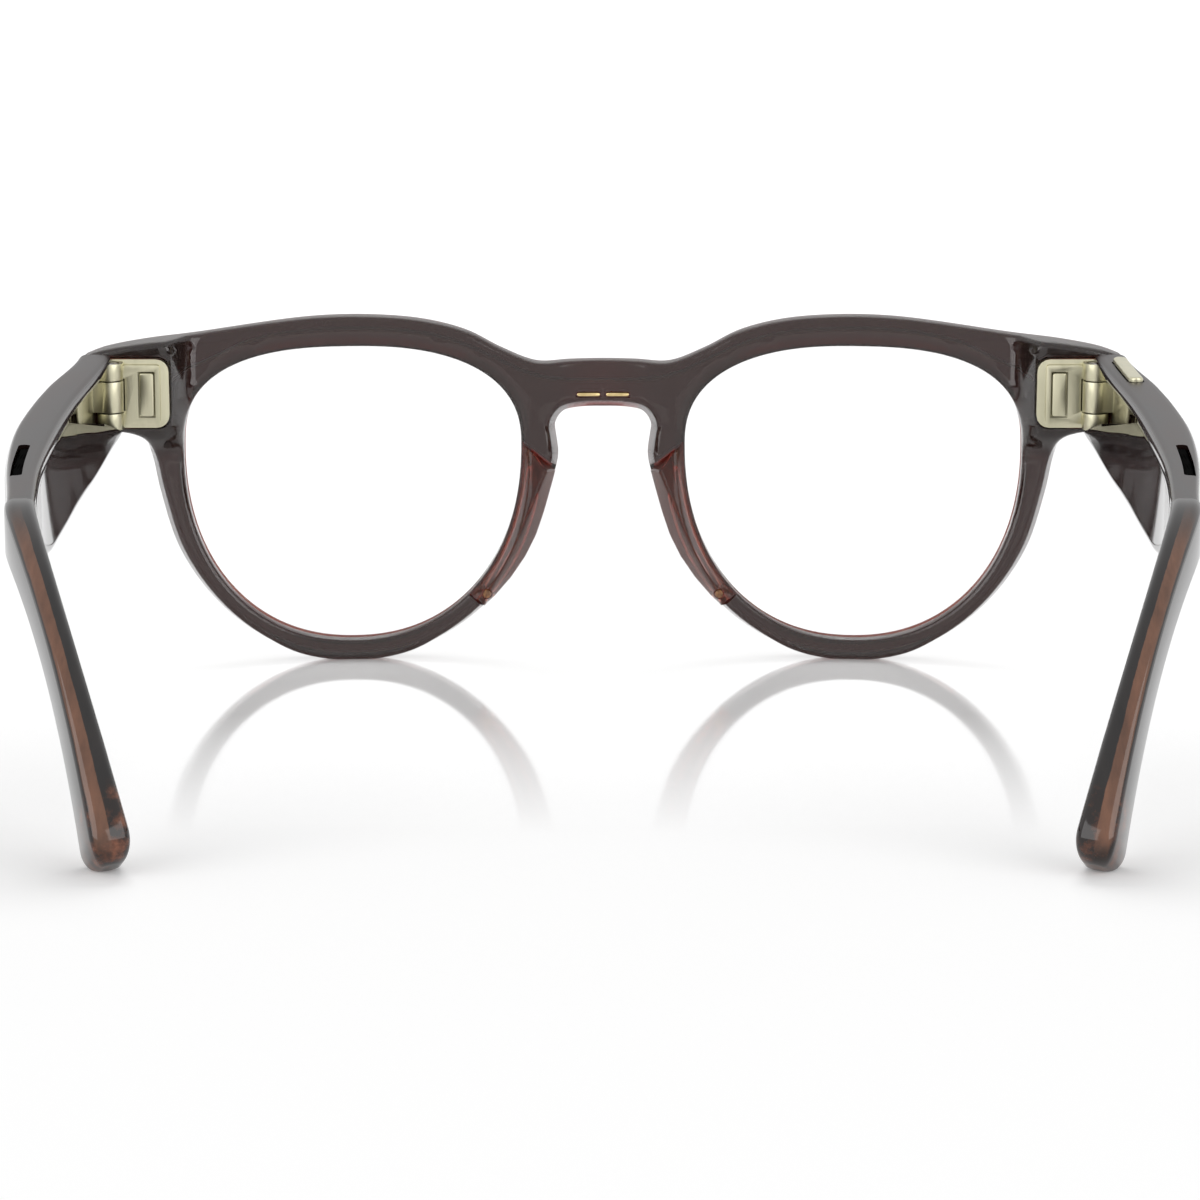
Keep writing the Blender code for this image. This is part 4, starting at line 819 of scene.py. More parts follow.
class Temple:
    """Places a point by its distance along the temple, outwards and up from its middle line."""

    def __init__(self, side):
        self.side = side
        height = 0.0
        for _ in range(DRAFT_TRIES):
            self.follow(temple_line(height))
            height -= min(p.z for p in self.tip(*DRAFT_TIP).points) + TIP_FOOT

    def follow(self, line):
        self.line = line
        self.reach = [-LINE_LEAD]
        for a, b in zip(line, line[1:]):
            self.reach.append(self.reach[-1] + (b - a).length)
        self.length = self.reach[-1]

    def tip_stations(self, count, ends):
        stations = steps_between(SEAM + SEAM_GAP, self.length - TIP_ROUND, count)
        return stations + [self.length - TIP_ROUND * k for k in ends]

    def tip(self, count, steps, ends):
        return self.sweep(self.tip_stations(count, ends), tip_section(self.length, steps))

    def axes(self, s):
        """The middle point, outward and upward directions at a distance along."""
        at = min(max(bisect.bisect_left(self.reach, s) - 1, 0), len(self.line) - 2)
        share = (s - self.reach[at]) / (self.reach[at + 1] - self.reach[at])
        before, after = max(at - AXIS_REACH, 0), min(at + AXIS_REACH + 1, len(self.line) - 1)
        along = (self.line[after] - self.line[before]).normalized()
        level = Vector((-along.y, along.x, 0)).normalized()
        leaning = (Vector((1, 0, 0)) - along * along.x).normalized()
        out = level.lerp(leaning, TIP_ROLL).normalized()
        return self.line[at].lerp(self.line[at + 1], share), out, along.cross(out)

    def sweep(self, stations, section):
        """A solid whose section at each distance is a list of outward and upward places."""
        rings = []
        for s in stations:
            middle, out, up = self.axes(s)
            ring = [middle + out * p.x + up * p.y for p in section(s)]
            rings.append([Vector((self.side * p.x, p.y, p.z)) for p in ring])
        return Shape().loft(rings)

    def pill(self, s0, s1, middle, width, b0, b1, rounding=0.0):
        """A long piece with round ends, its upper edge rounded off."""
        half = width / 2
        ends = [half * (1 - math.cos(math.pi / 2 * k / PILL_ENDS)) for k in range(PILL_ENDS + 1)]
        stations = [s0 + e for e in ends] + steps_between(s0 + half, s1 - half, PILL_STEPS)[1:-1]
        stations += [s1 - e for e in ends[::-1]]

        def section(s):
            near = min(s - s0, s1 - s, half)
            w = max(math.sqrt(max(half**2 - (half - near) ** 2, 0.0)), PILL_THIN)
            r = min(rounding, w - PILL_EDGE) if rounding else 0
            drop = rounding - r if rounding else 0
            return rounded(middle - w, middle + w, b0, b1 - drop, (0, 0, r, r))

        return self.sweep(stations, section)


def narrowing(s):
    return ease((s - TAPER_START) / (SEAM - TAPER_START))


def tapered(half, s):
    return half + (SEAM_THICK / 2 - half) * narrowing(s)


def half_thick(s):
    return tapered(FRONT_THICK / 2 + SWELL * ease(s / SWELL_END), s)


def inner_half(s):
    """The inner side narrows a little behind the hinge, where the outer one swells."""
    return tapered(INNER_FRONT + INNER_SWELL * ease(s / SWELL_END), s)


def leant(s, ring):
    """A section whose inner side leans in towards its foot."""
    outer, top = half_thick(s), TEMPLE_TOP
    lean = INNER_LEAN * (1 - narrowing(s)) / (outer + inner_half(s)) / (top + foot(s))
    return [Vector((p.x - lean * (outer - p.x) * (top - p.y), p.y)) for p in ring]


def parting(s):
    return COVER_THICK - half_thick(s)


def wall_inside(s):
    return half_thick(s) - TEMPLE_WALL


def foot(s):
    grown_by = FOOT_GROWTH * ease((s - FOOT_START) / (FOOT_END - FOOT_START))
    return TEMPLE_FOOT + grown_by - FOOT_FALL * ease((s - FALL_START) / (SEAM - FALL_START))


def ramp(s):
    share = (s - POCKET_END) / (RAMP_END - POCKET_END)
    return RAMP_IN - (RAMP_IN + inner_half(RAMP_END)) * share


def whole_section(s):
    return leant(s, rounded(-inner_half(s), half_thick(s), -foot(s), TEMPLE_TOP, (TEMPLE_ROUND,) * 4))


def cover_section(s):
    return leant(s, rounded(-inner_half(s), parting(s), COVER_EDGE - foot(s), TEMPLE_TOP - COVER_EDGE))


def cover_space(s):
    low, high = COVER_EDGE - HAIR - foot(s), TEMPLE_TOP - COVER_EDGE + HAIR
    return leant(s, rounded(-half_thick(s) - OVERRUN, parting(s) + FIT, low, high))


def ramp_section(s):
    low = POCKET_LOW + (RAMP_REAR - POCKET_LOW) * (s - POCKET_END) / (RAMP_END - POCKET_END)
    return leant(s, rounded(-half_thick(s) - OVERRUN, ramp(s), -low, POCKET_HIGH))


def front_cavity_section(s):
    return rounded(ramp(s) + RAMP_WALL, wall_inside(s), -CAVITY_TOP, CAVITY_TOP)


def cavity_section(s):
    return rounded(parting(s) - FIT, wall_inside(s), -min(CAVITY_TOP, foot(s) - ROOF), CAVITY_TOP)


def tip_section(length, steps):
    """The tip's section: narrowest in the bend, then growing, and closing in a rounded end."""

    def section(s):
        share = (s - SEAM) / (length - SEAM)
        top = TEMPLE_TOP + (TIP_HALF - TEMPLE_TOP) * ease(share)
        low = foot(SEAM) + (TIP_HALF - foot(SEAM)) * ease((share - TIP_GROW) / (1 - TIP_GROW))
        thick = SEAM_THICK + (TIP_THICK - SEAM_THICK) * share - TIP_WAIST * math.sin(math.pi * share)
        near_end = max((s - (length - TIP_ROUND)) / TIP_ROUND, 0.0)
        lost = 1 - math.sqrt(max(1 - near_end**2, 0.0))
        h = thick / 2 - TIP_END_ROUND * lost
        inset = TIP_ROUND * lost
        return rounded(-h, h, inset - low, top - inset, (min(TIP_CORNER, h - HAIR),) * 4, steps)

    return section


def pad_outline(share, outline, extra):
    """The nose pad's section: out from the lens edge, and depth behind the front."""
    turn = PAD_FROM + (PAD_TO - PAD_FROM) * share
    edge, normal = lens_edge(turn)
    far = edge + normal * LENS_HEIGHT
    hits = [intersect_line_line_2d(edge, far, a, b) for a, b in zip(outline, outline[1:] + outline[:1])]
    width = min((hit - edge).length for hit in hits if hit)
    full = math.sin(math.pi * min(max(share, 0.0), 1.0)) ** PAD_SWELL_POWER
    slope, proud = (0.0 if extra else PAD_SLOPE * full), PAD_PROUD * full
    front = width + PAD_SPREAD * full + extra
    back = RIM_DEPTH + proud + extra
    crest = RIM_DEPTH + proud * PAD_CREST + extra
    section = (
        (PAD_INSET - extra, PAD_SHELF - extra), (PAD_STEP - extra, PAD_SHELF - extra),
        (PAD_STEP - extra, PAD_FLOOR - extra), (front, PAD_FLOOR - extra), (front, PAD_FLOOR + PAD_EDGE),
        (front - slope, back - PAD_EDGE / 2), (front - slope - PAD_EDGE / 2, back),
        (PAD_INSET + PAD_EDGE, crest), (PAD_INSET - extra, RIM_DEPTH - FIT + extra),
    )
    return edge, normal, section


def pad_ring(side, share, outline, extra):
    """The corners of one section in place. The top end slants down towards the nose."""
    section = pad_outline(share, outline, extra)[2]
    width = section[NOSE_CORNER][0]
    ring = []
    for corner, (out, _) in enumerate(section):
        slant = PAD_SLANT * (1 - share) * out / width
        edge, normal, moved = pad_outline(share + slant, outline, extra)
        out, depth = moved[corner]
        p = edge + normal * out
        ring.append(front_place(side)(p.x, p.y, depth))
    return ring


def pad_shape(side, outline, extra, sections, softness):
    """A nose pad, or with extra clearance the space that it takes in the rim."""
    overrun = extra / (LENS_HEIGHT / 2 * (PAD_TO - PAD_FROM))
    rings = [pad_ring(side, s, outline, extra) for s in steps_between(-overrun, 1 + overrun, sections)]
    middles = [ring[FLOOR_CORNER].lerp(ring[CREST_CORNER], 0.5) for ring in (rings[0], rings[-1])]
    if softness:
        rings = [softened(ring, softness) for ring in rings]
    return Shape().loft(rings, middles)


def leaning(place):
    return lambda y, z, x: place(x - y * LEAF_LEAN / LEAF_LENGTH, y, z)


def tongue(back, ahead, half, rear_low, rear_high):
    """The hinge leaf's outline in forward and upward places."""
    r = LEAF_ROUND
    foot_end = arc(r - back, r - rear_low, r, 180, 270, LEAF_POINTS)
    front = [Vector(c) for c in ((0, -half), (ahead, -half), (ahead, half), (0, half))]
    return foot_end + front + arc(r - back, rear_high - r, r, 90, 180, LEAF_POINTS)


def add_node(tree, kind, inputs=None, **settings):
    """A new node with its settings, its inputs given as values or linked from other nodes."""
    node = tree.nodes.new(f"ShaderNode{kind}")
    for key, value in settings.items():
        setattr(node, key, value)
    for key, value in (inputs or {}).items():
        if isinstance(value, bpy.types.NodeSocket):
            tree.links.new(value, node.inputs[key])
        else:
            node.inputs[key].default_value = value
    return node


def seen_rays(tree):
    """One for rays from the camera, off a gloss or through clear matter, and zero for others."""
    rays = add_node(tree, "LightPath").outputs
    total = rays["Is Camera Ray"]
    for name in ("Is Glossy Ray", "Is Transmission Ray"):
        step = add_node(tree, "Math", {0: total, 1: rays[name]}, operation="MAXIMUM")
        total = step.outputs["Value"]
    return total


class Paint:
    """A material's nodes, with short ways to add and join them."""

    def __init__(self, name, colour, roughness, metallic=0.0, **sockets):
        self.name = name
        self.material = bpy.data.materials.new(name)
        self.material.use_nodes = True
        self.tree = self.material.node_tree
        self.shader = self.tree.nodes["Principled BSDF"]
        self.shader.inputs["Base Color"].default_value = (*colour, 1)
        self.shader.inputs["Roughness"].default_value = roughness
        self.shader.inputs["Metallic"].default_value = metallic
        for socket, value in sockets.items():
            self.shader.inputs[socket.replace("_", " ")].default_value = value

    def add(self, kind, inputs=None, **settings):
        return add_node(self.tree, kind, inputs, **settings)

    def place(self, scale=(1, 1, 1)):
        """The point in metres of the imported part's frame, scaled along each axis."""
        where = self.add("TexCoord").outputs["Object"]
        return self.add("Mapping", {"Vector": where, "Scale": scale}).outputs["Vector"]

    def noise(self, scale, detail=3.0, stretch=(1, 1, 1), rough=0.5):
        inputs = {"Vector": self.place(stretch), "Scale": scale, "Detail": detail, "Roughness": rough}
        return self.add("TexNoise", inputs).outputs["Fac"]

    def ramp(self, value, *stops):
        node = self.add("ValToRGB", {"Fac": value})
        found = node.color_ramp.elements
        while len(found) < len(stops):
            found.new(0.5)
        for element, (at, colour) in zip(found, stops):
            element.position = at
            element.color = (*colour, 1)
        return node.outputs["Color"]

    def tones(self, field, dark, light):
        """A colour that drifts between two with a noise."""
        return self.ramp(field, (TONE_DARK, dark), (TONE_LIGHT, light))

    def spread(self, value, low, high, start=0.0, end=1.0):
        """A value between start and end spread from low to high, and held beyond them."""
        inputs = {"Value": value, "From Min": start, "From Max": end, "To Min": low, "To Max": high}
        return self.add("MapRange", inputs).outputs["Result"]

    def calc(self, operation, first, second):
        return self.add("Math", {0: first, 1: second}, operation=operation).outputs["Value"]

    def mix(self, share, first, second):
        """One colour or another, by a share from 0 to 1."""
        node = self.add("Mix", {"Factor": share}, data_type="RGBA")
        self.tree.links.new(first, node.inputs[6])
        self.tree.links.new(second, node.inputs[7])
        return node.outputs[2]

    def along(self, vector, axis):
        return self.add("SeparateXYZ", {"Vector": vector}).outputs[axis]

    def facing(self, axis):
        """How far the surface faces along an axis."""
        return self.along(self.add("TexCoord").outputs["Normal"], axis)

    def attribute(self, name):
        return self.add("Attribute", attribute_name=name).outputs["Fac"]

    def link(self, socket, value):
        self.tree.links.new(value, self.shader.inputs[socket])

    def bump(self, value, strength, distance=0.0002):
        inputs = {"Height": value, "Strength": strength, "Distance": distance}
        self.link("Normal", self.add("Bump", inputs).outputs["Normal"])

    def absorb(self, colour, density):
        node = self.add("VolumeAbsorption", {"Color": (*colour, 1), "Density": density})
        out = self.tree.nodes["Material Output"]
        self.tree.links.new(node.outputs["Volume"], out.inputs["Volume"])


def mottled(name, dark, light, low, high, scale, metallic=0.0, bump=0.0, stretch=(1, 1, 1)):
    """A plain finish whose colour and roughness drift a little over the surface."""
    paint = Paint(name, dark, (low + high) / 2, metallic)
    field = paint.noise(scale, detail=4.0, stretch=stretch)
    paint.link("Base Color", paint.tones(field, dark, light))
    paint.link("Roughness", paint.spread(field, low, high))
    if bump:
        paint.bump(paint.noise(scale * 6, detail=2.0, stretch=stretch), bump)
    return paint


def make_frame_plastic():
    """Smoked brown plastic, satin on top: nearly black where deep, red-brown where light comes through."""
    paint = Paint("frame_plastic", (0.62, 0.42, 0.36), 0.06, Transmission_Weight=0.97, IOR=1.52)
    field = paint.noise(scale=240, detail=3.0)
    satin = paint.spread(paint.facing("Z"), low=0.0, high=0.35, start=0.45, end=0.8)
    paint.link("Roughness", paint.calc("ADD", satin, paint.spread(field, low=0.03, high=0.08)))
    paint.link("Base Color", paint.tones(field, dark=(0.60, 0.40, 0.34), light=(0.66, 0.46, 0.40)))
    paint.absorb(colour=(0.68, 0.34, 0.27), density=2600)
    return paint


def make_temple_plastic():
    """Nearly black brown plastic, polished at the sides and satin on top."""
    paint = Paint("temple_plastic", (0.02, 0.013, 0.012), 0.1)
    grain = paint.noise(scale=300, detail=4.0, stretch=(1, 0.12, 1))
    paint.link("Base Color", paint.tones(grain, dark=(0.006, 0.004, 0.004), light=(0.020, 0.010, 0.008)))
    satin = paint.spread(paint.facing("Z"), low=0.04, high=0.4, start=0.55, end=0.9)
    paint.link("Roughness", paint.calc("ADD", satin, paint.spread(grain, low=-0.02, high=0.02)))
    return paint


def make_pad_plastic():
    """Brown plastic with dark and red streaks along the pad. Where the surface turns from the rear towards
    the nose, a pale tint is painted in for light showing through the pad.
    """
    paint = Paint("pad_plastic", (0.5, 0.2, 0.12), 0.1, Transmission_Weight=0.9, IOR=1.4)
    streak = paint.noise(scale=420, detail=4.0, stretch=(1, 1, 0.25), rough=0.6)
    stops = (0.32, (0.12, 0.04, 0.024)), (0.5, (0.34, 0.11, 0.06)), (0.68, (0.48, 0.20, 0.11))
    # Painted light: faces turned away from the rear get a pale tint, standing in for light showing through
    # the pad.
    slope = paint.spread(paint.facing("Y"), low=0.0, high=1.0, start=-0.85, end=-0.45)
    clear = paint.tones(streak, dark=(0.80, 0.62, 0.55), light=(0.92, 0.80, 0.75))
    paint.link("Base Color", paint.mix(slope, paint.ramp(streak, *stops), clear))
    paint.link("Roughness", paint.spread(paint.noise(scale=900), low=0.06, high=0.16))
    paint.absorb(colour=(0.80, 0.50, 0.42), density=1000)
    return paint


def make_tip_plastic():
    """Nearly black plastic with tortoise flecks at the end, and a brown band painted along the outer half of
    its section for light coming through the plastic.
    """
    paint = Paint("tip_plastic", (0.1, 0.05, 0.035), 0.07, IOR=1.5)
    grain = paint.noise(scale=520, detail=4.0, stretch=(1, 0.2, 0.35), rough=0.6)
    # Painted light: the brown band stands in for light coming through the plastic; its edges follow the
    # grain.
    moved = paint.calc("ADD", paint.attribute("layer"), paint.spread(grain, low=-0.06, high=0.06))
    brown_painted_light = paint.tones(grain, dark=(0.095, 0.042, 0.024), light=(0.18, 0.080, 0.045))
    black = paint.tones(grain, dark=(0.006, 0.005, 0.005), light=(0.016, 0.012, 0.011))
    share = paint.ramp(moved, (0.50, (0, 0, 0)), (0.53, (1, 1, 1)), (0.90, (1, 1, 1)), (0.94, (0, 0, 0)))
    fleck = paint.noise(scale=330, detail=5.0, rough=0.65)
    stops = (0.46, (0.010, 0.005, 0.004)), (0.56, (0.07, 0.022, 0.010)), (0.68, (0.20, 0.07, 0.035))
    inner = paint.mix(paint.attribute("end"), black, paint.ramp(fleck, *stops))
    # The painted light band fades in from the seam and out at the rounded end.
    shown = paint.calc("MULTIPLY", share, paint.attribute("start"))
    paint.link("Base Color", paint.mix(shown, inner, brown_painted_light))
    paint.link("Roughness", paint.spread(grain, low=0.04, high=0.09))
    return paint


def make_grille_black():
    """Matte black mesh with rows of fine holes, each hole painted darker for the shade inside it."""
    paint = Paint("grille_black", (0.004, 0.004, 0.004), 0.95, Specular_IOR_Level=0.0)
    inputs = {"Vector": paint.place(), "Scale": 2600.0, "Randomness": 0.0}
    holes_and_shade = paint.add("TexVoronoi", inputs).outputs["Distance"]
    # Painted shade: the holes are darker than the mesh between them.
    paint.link("Base Color", paint.ramp(holes_and_shade, (0.3, (0.001, 0.001, 0.001)), (0.4, (0.007, 0.007, 0.007))))
    paint.bump(holes_and_shade, strength=0.3)
    return paint


def make_lens():
    paint = Paint("lens_clear", (1, 1, 1), 0.0, Transmission_Weight=1.0, IOR=1.08)
    paint.link("Roughness", paint.spread(paint.noise(scale=40), low=0.0, high=0.012))
    return paint


def make_materials():
    # Name, dark and light tone, roughness from and to, noise scale, then metallic, bump and stretch
    plain = (
        ("cover_plastic", (0.008, 0.006, 0.006), (0.018, 0.010, 0.009), 0.03, 0.06, 240),
        ("window_glass", (0.004, 0.004, 0.005), (0.010, 0.010, 0.012), 0.03, 0.05, 300),
        ("black_plastic", (0.010, 0.010, 0.010), (0.022, 0.021, 0.020), 0.4, 0.55, 800, 0.0, 0.2),
        ("board_green", (0.01, 0.06, 0.03), (0.03, 0.12, 0.06), 0.35, 0.5, 900),
        # Painted shade: the flex is coloured far darker than amber, for the shade it lies in inside the
        # front.
        ("flex_amber", (0.05, 0.022, 0.008), (0.10, 0.045, 0.015), 0.3, 0.45, 700),
        ("hinge_metal", (0.50, 0.48, 0.34), (0.60, 0.57, 0.42), 0.26, 0.4, 700, 1.0, 0.04, (1, 1, 0.1)),
        ("gold_contact", (0.55, 0.42, 0.20), (0.68, 0.53, 0.28), 0.12, 0.25, 1500, 1.0),
        ("pin_amber", (0.02, 0.008, 0.004), (0.34, 0.15, 0.05), 0.1, 0.2, 2200),
        ("screw_steel", (0.5, 0.49, 0.47), (0.6, 0.58, 0.55), 0.2, 0.35, 1500, 1.0),
        ("cell_silver", (0.5, 0.5, 0.52), (0.65, 0.65, 0.67), 0.3, 0.45, 500, 1.0),
    )
    found = [mottled(*settings) for settings in plain]
    found += [make_frame_plastic(), make_temple_plastic(), make_pad_plastic(), make_tip_plastic()]
    found += [make_grille_black(), make_lens()]
    return {paint.name: paint.material for paint in found}


FINISHES = make_materials()
OWN_FINISH = {"speaker_grille": "grille_black", "nose_pad_pin": "pin_amber"}


def build_front():
    outline = front_outline(FRONT_POINTS)
    right = lens_loop(LENS_POINTS)
    loops = {1: right, -1: mirrored_loop(right)}
    front = raw("front_form", front_shape(outline, (loops[-1], loops[1])))
    cutters = []
    coarse = front_outline(COARSE_POINTS)
    for side, word in SIDES:
        lens = raw(f"lens_form_{word}", lens_shape(loops[side]))
        dress(lens, "front", "lens_clear", [f"lens_{word}"], sharp=LENS_SHARP)
        lens.visible_shadow = False
        pad = raw(f"nose_pad_form_{word}", pad_shape(side, coarse, 0, PAD_SECTIONS, PAD_SOFT))
        edge, normal, section = pad_outline(PAD_PIN_AT, coarse, 0)
        middle = edge + normal * (section[STEP_CORNER][0] + section[CREST_CORNER][0] + FIT) / 2
        hole = circle(middle.x, middle.y, PAD_PIN_RADIUS + FIT, PIN_SIDES)
        place = front_place(side)
        pin_end = section[CREST_CORNER][1] - GAP + 2 * OVERRUN
        pin_hole = prism(hole, place, LENS_EDGE - GAP, pin_end)
        cut(pad, [pin_hole])
        dress(pad, "front", "pad_plastic", [f"nose_pad_{word}"])
        cutters += [pad_shape(side, coarse, GAP, PAD_SECTIONS, 0), pin_hole]

        z = KEYHOLE_TOP + CONTACT_RISE
        x0, half = CONTACT_APART / 2 - FIT, CONTACT_HEIGHT / 2 + FIT
        seat = rounded(x0, x0 + CONTACT_LENGTH + 2 * FIT, z - half, z + half, (half - HAIR,) * 4)
        face = RIM_DEPTH - SADDLE_DEPTH
        cutters.append(prism(seat, place, face - CONTACT_SINK - FIT, face + CONTACT_PROUD + OVERRUN))

        bore = bore_place(side)
        seat_depth = WINDOW_THICK + 2 * GAP
        end = seat_depth + BARREL_LENGTH + MODULE_LENGTH + GAP
        cutters.append(prism(circle(BORE_X, BORE_Z, WINDOW_RADIUS + FIT), bore, -2 * OVERRUN, seat_depth))
        cutters.append(prism(circle(BORE_X, BORE_Z, MODULE_RADIUS + FIT), bore, seat_depth - BITE, end))

        hinge = hinge_place(side)
        seat_floor = AXIS_BACK + PLATE_SINK
        inner, outer = PLATE_REACH - PLATE_WIDTH - GAP, PLATE_REACH + GAP
        tall, r = HINGE_HALF + GAP, PLATE_ROUND + GAP
        seat = rounded(inner, outer, -tall, tall, (r, 0, 0, r))
        back = seat_floor - PLATE_THICK - OVERRUN
        cutters.append(prism(seat, lambda x, z, y: hinge(x, y, z), back, seat_floor + GAP))
    cut(front, cutters)
    dress(front, "front", "frame_plastic", ["front_frame"])


def build_temple(side, word):
    temple = Temple(side)
    body = f"temple_{word}"
    housing = temple.sweep(steps_between(TEMPLE_FRONT, SEAM, SHELL_STEPS), whole_section)
    shell = raw(f"temple_shell_form_{word}", housing)
    cover_end = SEAM - COVER_SHORT
    panel = temple.sweep(steps_between(COVER_FROM, cover_end, COVER_STEPS), cover_section)
    cover = raw(f"temple_cover_form_{word}", panel)
    pocket = tongue(POCKET_END, AXIS_BACK + OVERRUN, POCKET_HALF, POCKET_LOW, POCKET_HIGH)
    slope = temple.sweep(steps_between(POCKET_END - LEAF_ROUND, RAMP_END, RAMP_STEPS), ramp_section)
    g0, g1 = GRILLE_FROM, GRILLE_FROM + GRILLE_LENGTH
    slot_low = CAVITY_TOP - OVERRUN
    cutters = [
        temple.sweep(steps_between(COVER_FROM - HAIR, cover_end + HAIR, COVER_STEPS), cover_space),
        temple.sweep(steps_between(COVER_FROM, CAVITY_END, CAVITY_STEPS), cavity_section),
        temple.sweep(steps_between(CAVITY_FROM, COVER_FROM + BITE, FRONT_CAVITY_STEPS), front_cavity_section),
        prism(pocket, leaning(hinge_place(side)), -HINGE_INSET - OVERRUN, POCKET_X),
        slope,
        temple.pill(g0, g1, GRILLE_OUT, GRILLE_WIDTH, slot_low, TEMPLE_TOP + OVERRUN),
    ]
    if side < 0:
        k0 = KNOB_FROM
        end = k0 + KNOB_LENGTH + KNOB_TRAVEL
        skin = -foot(k0)
        half = KNOB_WIDTH / 2 + FIT
        slot = rounded(KNOB_OUT - half, KNOB_OUT + half, skin - OVERRUN, skin + KNOB_SINK)
        cutters.append(temple.sweep(steps_between(k0 - GAP, end + GAP, SLOT_STEPS), lambda s: slot))
    else:
        s0, s1 = BUTTON_FROM, BUTTON_FROM + BUTTON_LENGTH
        floor = TEMPLE_TOP - BUTTON_SINK
        width = BUTTON_WIDTH + 2 * FIT
        cutters.append(temple.pill(s0 - FIT, s1 + FIT, BUTTON_OUT, width, floor, TEMPLE_TOP + OVERRUN))
        under = floor + BUTTON_TRAVEL + HAIR
        key = temple.pill(s0, s1, BUTTON_OUT, BUTTON_WIDTH, under, under + BUTTON_THICK, BUTTON_SOFT)
        button = raw("capture_button_form", key)
        dress(button, "capture_button", "hinge_metal", ["capture_button"])
    cut(shell, cutters)
    dress(shell, body, "frame_plastic", [f"temple_shell_{word}"], "temple_plastic")
    cut(cover, [slope])
    dress(cover, body, "cover_plastic", [f"temple_cover_{word}"])
    ends = [1 - math.sin(math.pi / 2 * k / TIP_END_STEPS) for k in range(1, TIP_END_STEPS)] + [TIP_LAST]
    tip_shape = temple.tip(TIP_STEPS, TIP_CORNER_STEPS, ends)
    for p in tip_shape.points:
        p.z = max(p.z, 0.0)
    tip = raw(f"temple_tip_form_{word}", tip_shape)
    mark_tip_shares(tip.data, temple, temple.tip_stations(TIP_STEPS, ends))
    dress(tip, body, "tip_plastic", [f"temple_tip_{word}"])


def mark_tip_shares(mesh, temple, stations):
    """Keeps on a tip's mesh how far out each corner lies in its section, and how near the ends it is."""
    section = tip_section(temple.length, TIP_CORNER_STEPS)
    across_shares, ends, starts = [], [], []
    for s in stations:
        ring = section(s)
        half = max(p.x for p in ring)
        # How far out each corner lies places the painted light band; how near the ends it is sets the flecks
        # and the band's fading.
        across_shares += [0.5 + p.x / (2 * half) for p in ring]
        ends += [ease((s - temple.length + TIP_FLECKS) / TIP_FADE)] * len(ring)
        starts += [ease((s - SEAM) / TIP_DAWN) * ease((temple.length - s) / TIP_ROUND)] * len(ring)
    for name, values in (("layer", across_shares), ("end", ends), ("start", starts)):
        mesh.attributes.new(name, "FLOAT", "POINT").data.foreach_set("value", values)


def refine(node, width):
    """The CAD piece again, with its sharp edges rounded off a little."""
    source = frame["nodes"][node]
    form = bmesh.new()
    form.from_mesh(source.data)
    bmesh.ops.remove_doubles(form, verts=form.verts, dist=WELD)
    bmesh.ops.dissolve_limit(form, angle_limit=FLAT_ANGLE, verts=form.verts, edges=form.edges)
    sharp = [e for e in form.edges if len(e.link_faces) == 2 and e.calc_face_angle() > SHARP_ANGLE]
    bmesh.ops.bevel(
        form, geom=sharp, offset=width * MM, offset_type="OFFSET", segments=BEVEL_STEPS,
        profile=BEVEL_PROFILE, affect="EDGES", clamp_overlap=True,
    )
    mesh = bpy.data.meshes.new(f"{node}_form")
    form.to_mesh(mesh)
    form.free()
    return link_object(f"{node}_form", mesh)


def build_rest():
    """The other CAD pieces: those in sight with softened edges, all with their finish."""
    # How wide each softened edge is
    seen = {
        "hinge_front_plate": 0.12, "hinge_cover": 0.1, "hinge_temple_plate": 0.12, "hinge_screw": 0.08,
        "charging_contact": 0.08, "nose_pad_pin": 0.08, "speaker_grille": 0.1, "power_switch_knob": 0.12,
        "camera_window": 0.15, "capture_light_window": 0.15,
    }
    record = frame["record"]
    slots = {part["node"]: part.get("material_slot") for part in record["subparts"]}
    for node, source in frame["nodes"].items():
        if source.hide_render:
            continue
        slot = slots[node]
        stem = node.removesuffix("_left").removesuffix("_right")
        finish = OWN_FINISH.get(stem, slot)
        if stem in seen:
            made = refine(node, seen[stem])
            dress(made, source["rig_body"], slot, [node], finish, METAL_SHARP)
        else:
            source.data.materials.clear()
            source.data.materials.append(FINISHES[finish])


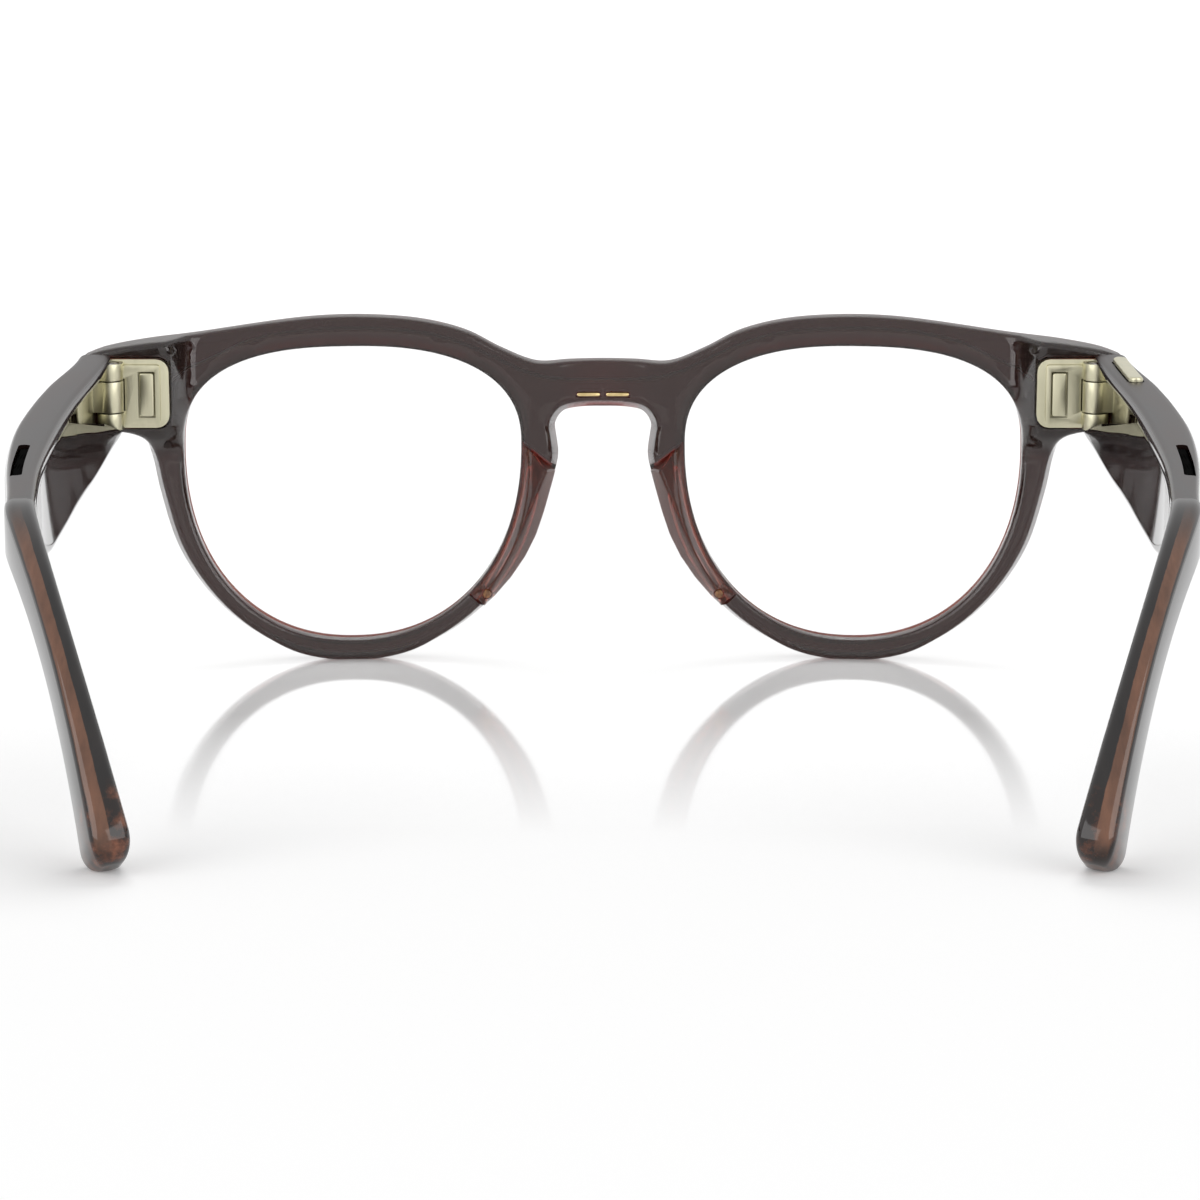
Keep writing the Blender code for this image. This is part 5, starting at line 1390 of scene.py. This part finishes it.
def build_stage():
    """Floor, surrounding light, lamps and camera."""
    bpy.ops.mesh.primitive_plane_add(size=FLOOR_SIZE, location=(0, 0, -FLOOR_DROP))
    floor = bpy.context.object
    floor.name = "floor"
    ground = Paint(
        "floor_white", FLOOR_COLOUR, FLOOR_ROUGH, Coat_Weight=1.0, Coat_Roughness=FLOOR_COAT_ROUGH
    )
    gloss = ground.spread(ground.along(ground.place(), "Y"), 0.0, 1.0, FLOOR_NEAR, FLOOR_FAR)
    matte = ground.add("BsdfDiffuse", {"Color": (*FLOOR_COLOUR, 1)}).outputs["BSDF"]
    polished = ground.shader.outputs["BSDF"]
    surface = ground.add("MixShader", {0: gloss, 1: matte, 2: polished}).outputs["Shader"]
    away = ground.add("VectorMath", {0: ground.place()}, operation="LENGTH").outputs["Value"]
    lift = ground.spread(away, FLOOR_LIFT, FLOOR_EDGE, LIFT_FROM, LIFT_TO)
    shown = ground.calc("MULTIPLY", seen_rays(ground.tree), lift)
    glow = ground.add("Emission", {"Strength": shown}).outputs["Emission"]
    whole = ground.add("AddShader", {0: surface, 1: glow}).outputs["Shader"]
    ground.tree.links.new(whole, ground.tree.nodes["Material Output"].inputs["Surface"])
    floor.data.materials.append(ground.material)

    scene = bpy.context.scene
    world = bpy.data.worlds.new("surroundings")
    scene.world = world
    world.use_nodes = True
    tree = world.node_tree
    tree.nodes.clear()
    soft = add_node(tree, "Background", {"Color": WHITE, "Strength": SKY}).outputs[0]
    white = add_node(tree, "Background", {"Color": WHITE, "Strength": 1.0}).outputs[0]
    both = add_node(tree, "MixShader", {0: seen_rays(tree), 1: soft, 2: white}).outputs[0]
    add_node(tree, "OutputWorld", {"Surface": both})

    for name, at, size, power, mirrored in LAMPS:
        lamp = bpy.data.lights.new(name, "AREA")
        lamp.shape = "RECTANGLE"
        lamp.size, lamp.size_y = size
        lamp.energy = power
        holder = link_object(name, lamp)
        holder.location = at
        holder.rotation_euler = (LAMP_AIM - Vector(at)).to_track_quat("-Z", "Y").to_euler()
        holder.visible_glossy = mirrored

    lens = bpy.data.cameras.new("camera")
    lens.lens = CAMERA_LENS
    lens.sensor_width = CAMERA_SENSOR
    lens.shift_x = CAMERA_SHIFT
    camera = link_object("camera", lens)
    camera.location = (0, SHIFT.y * MM - CAMERA_BACK, CAMERA_HEIGHT)
    camera.rotation_euler = (CAMERA_PITCH, 0, 0)
    scene.camera = camera
    scene.view_settings.view_transform = "Standard"


build_front()
for each_side, each_word in SIDES:
    build_temple(each_side, each_word)
build_rest()
build_stage()
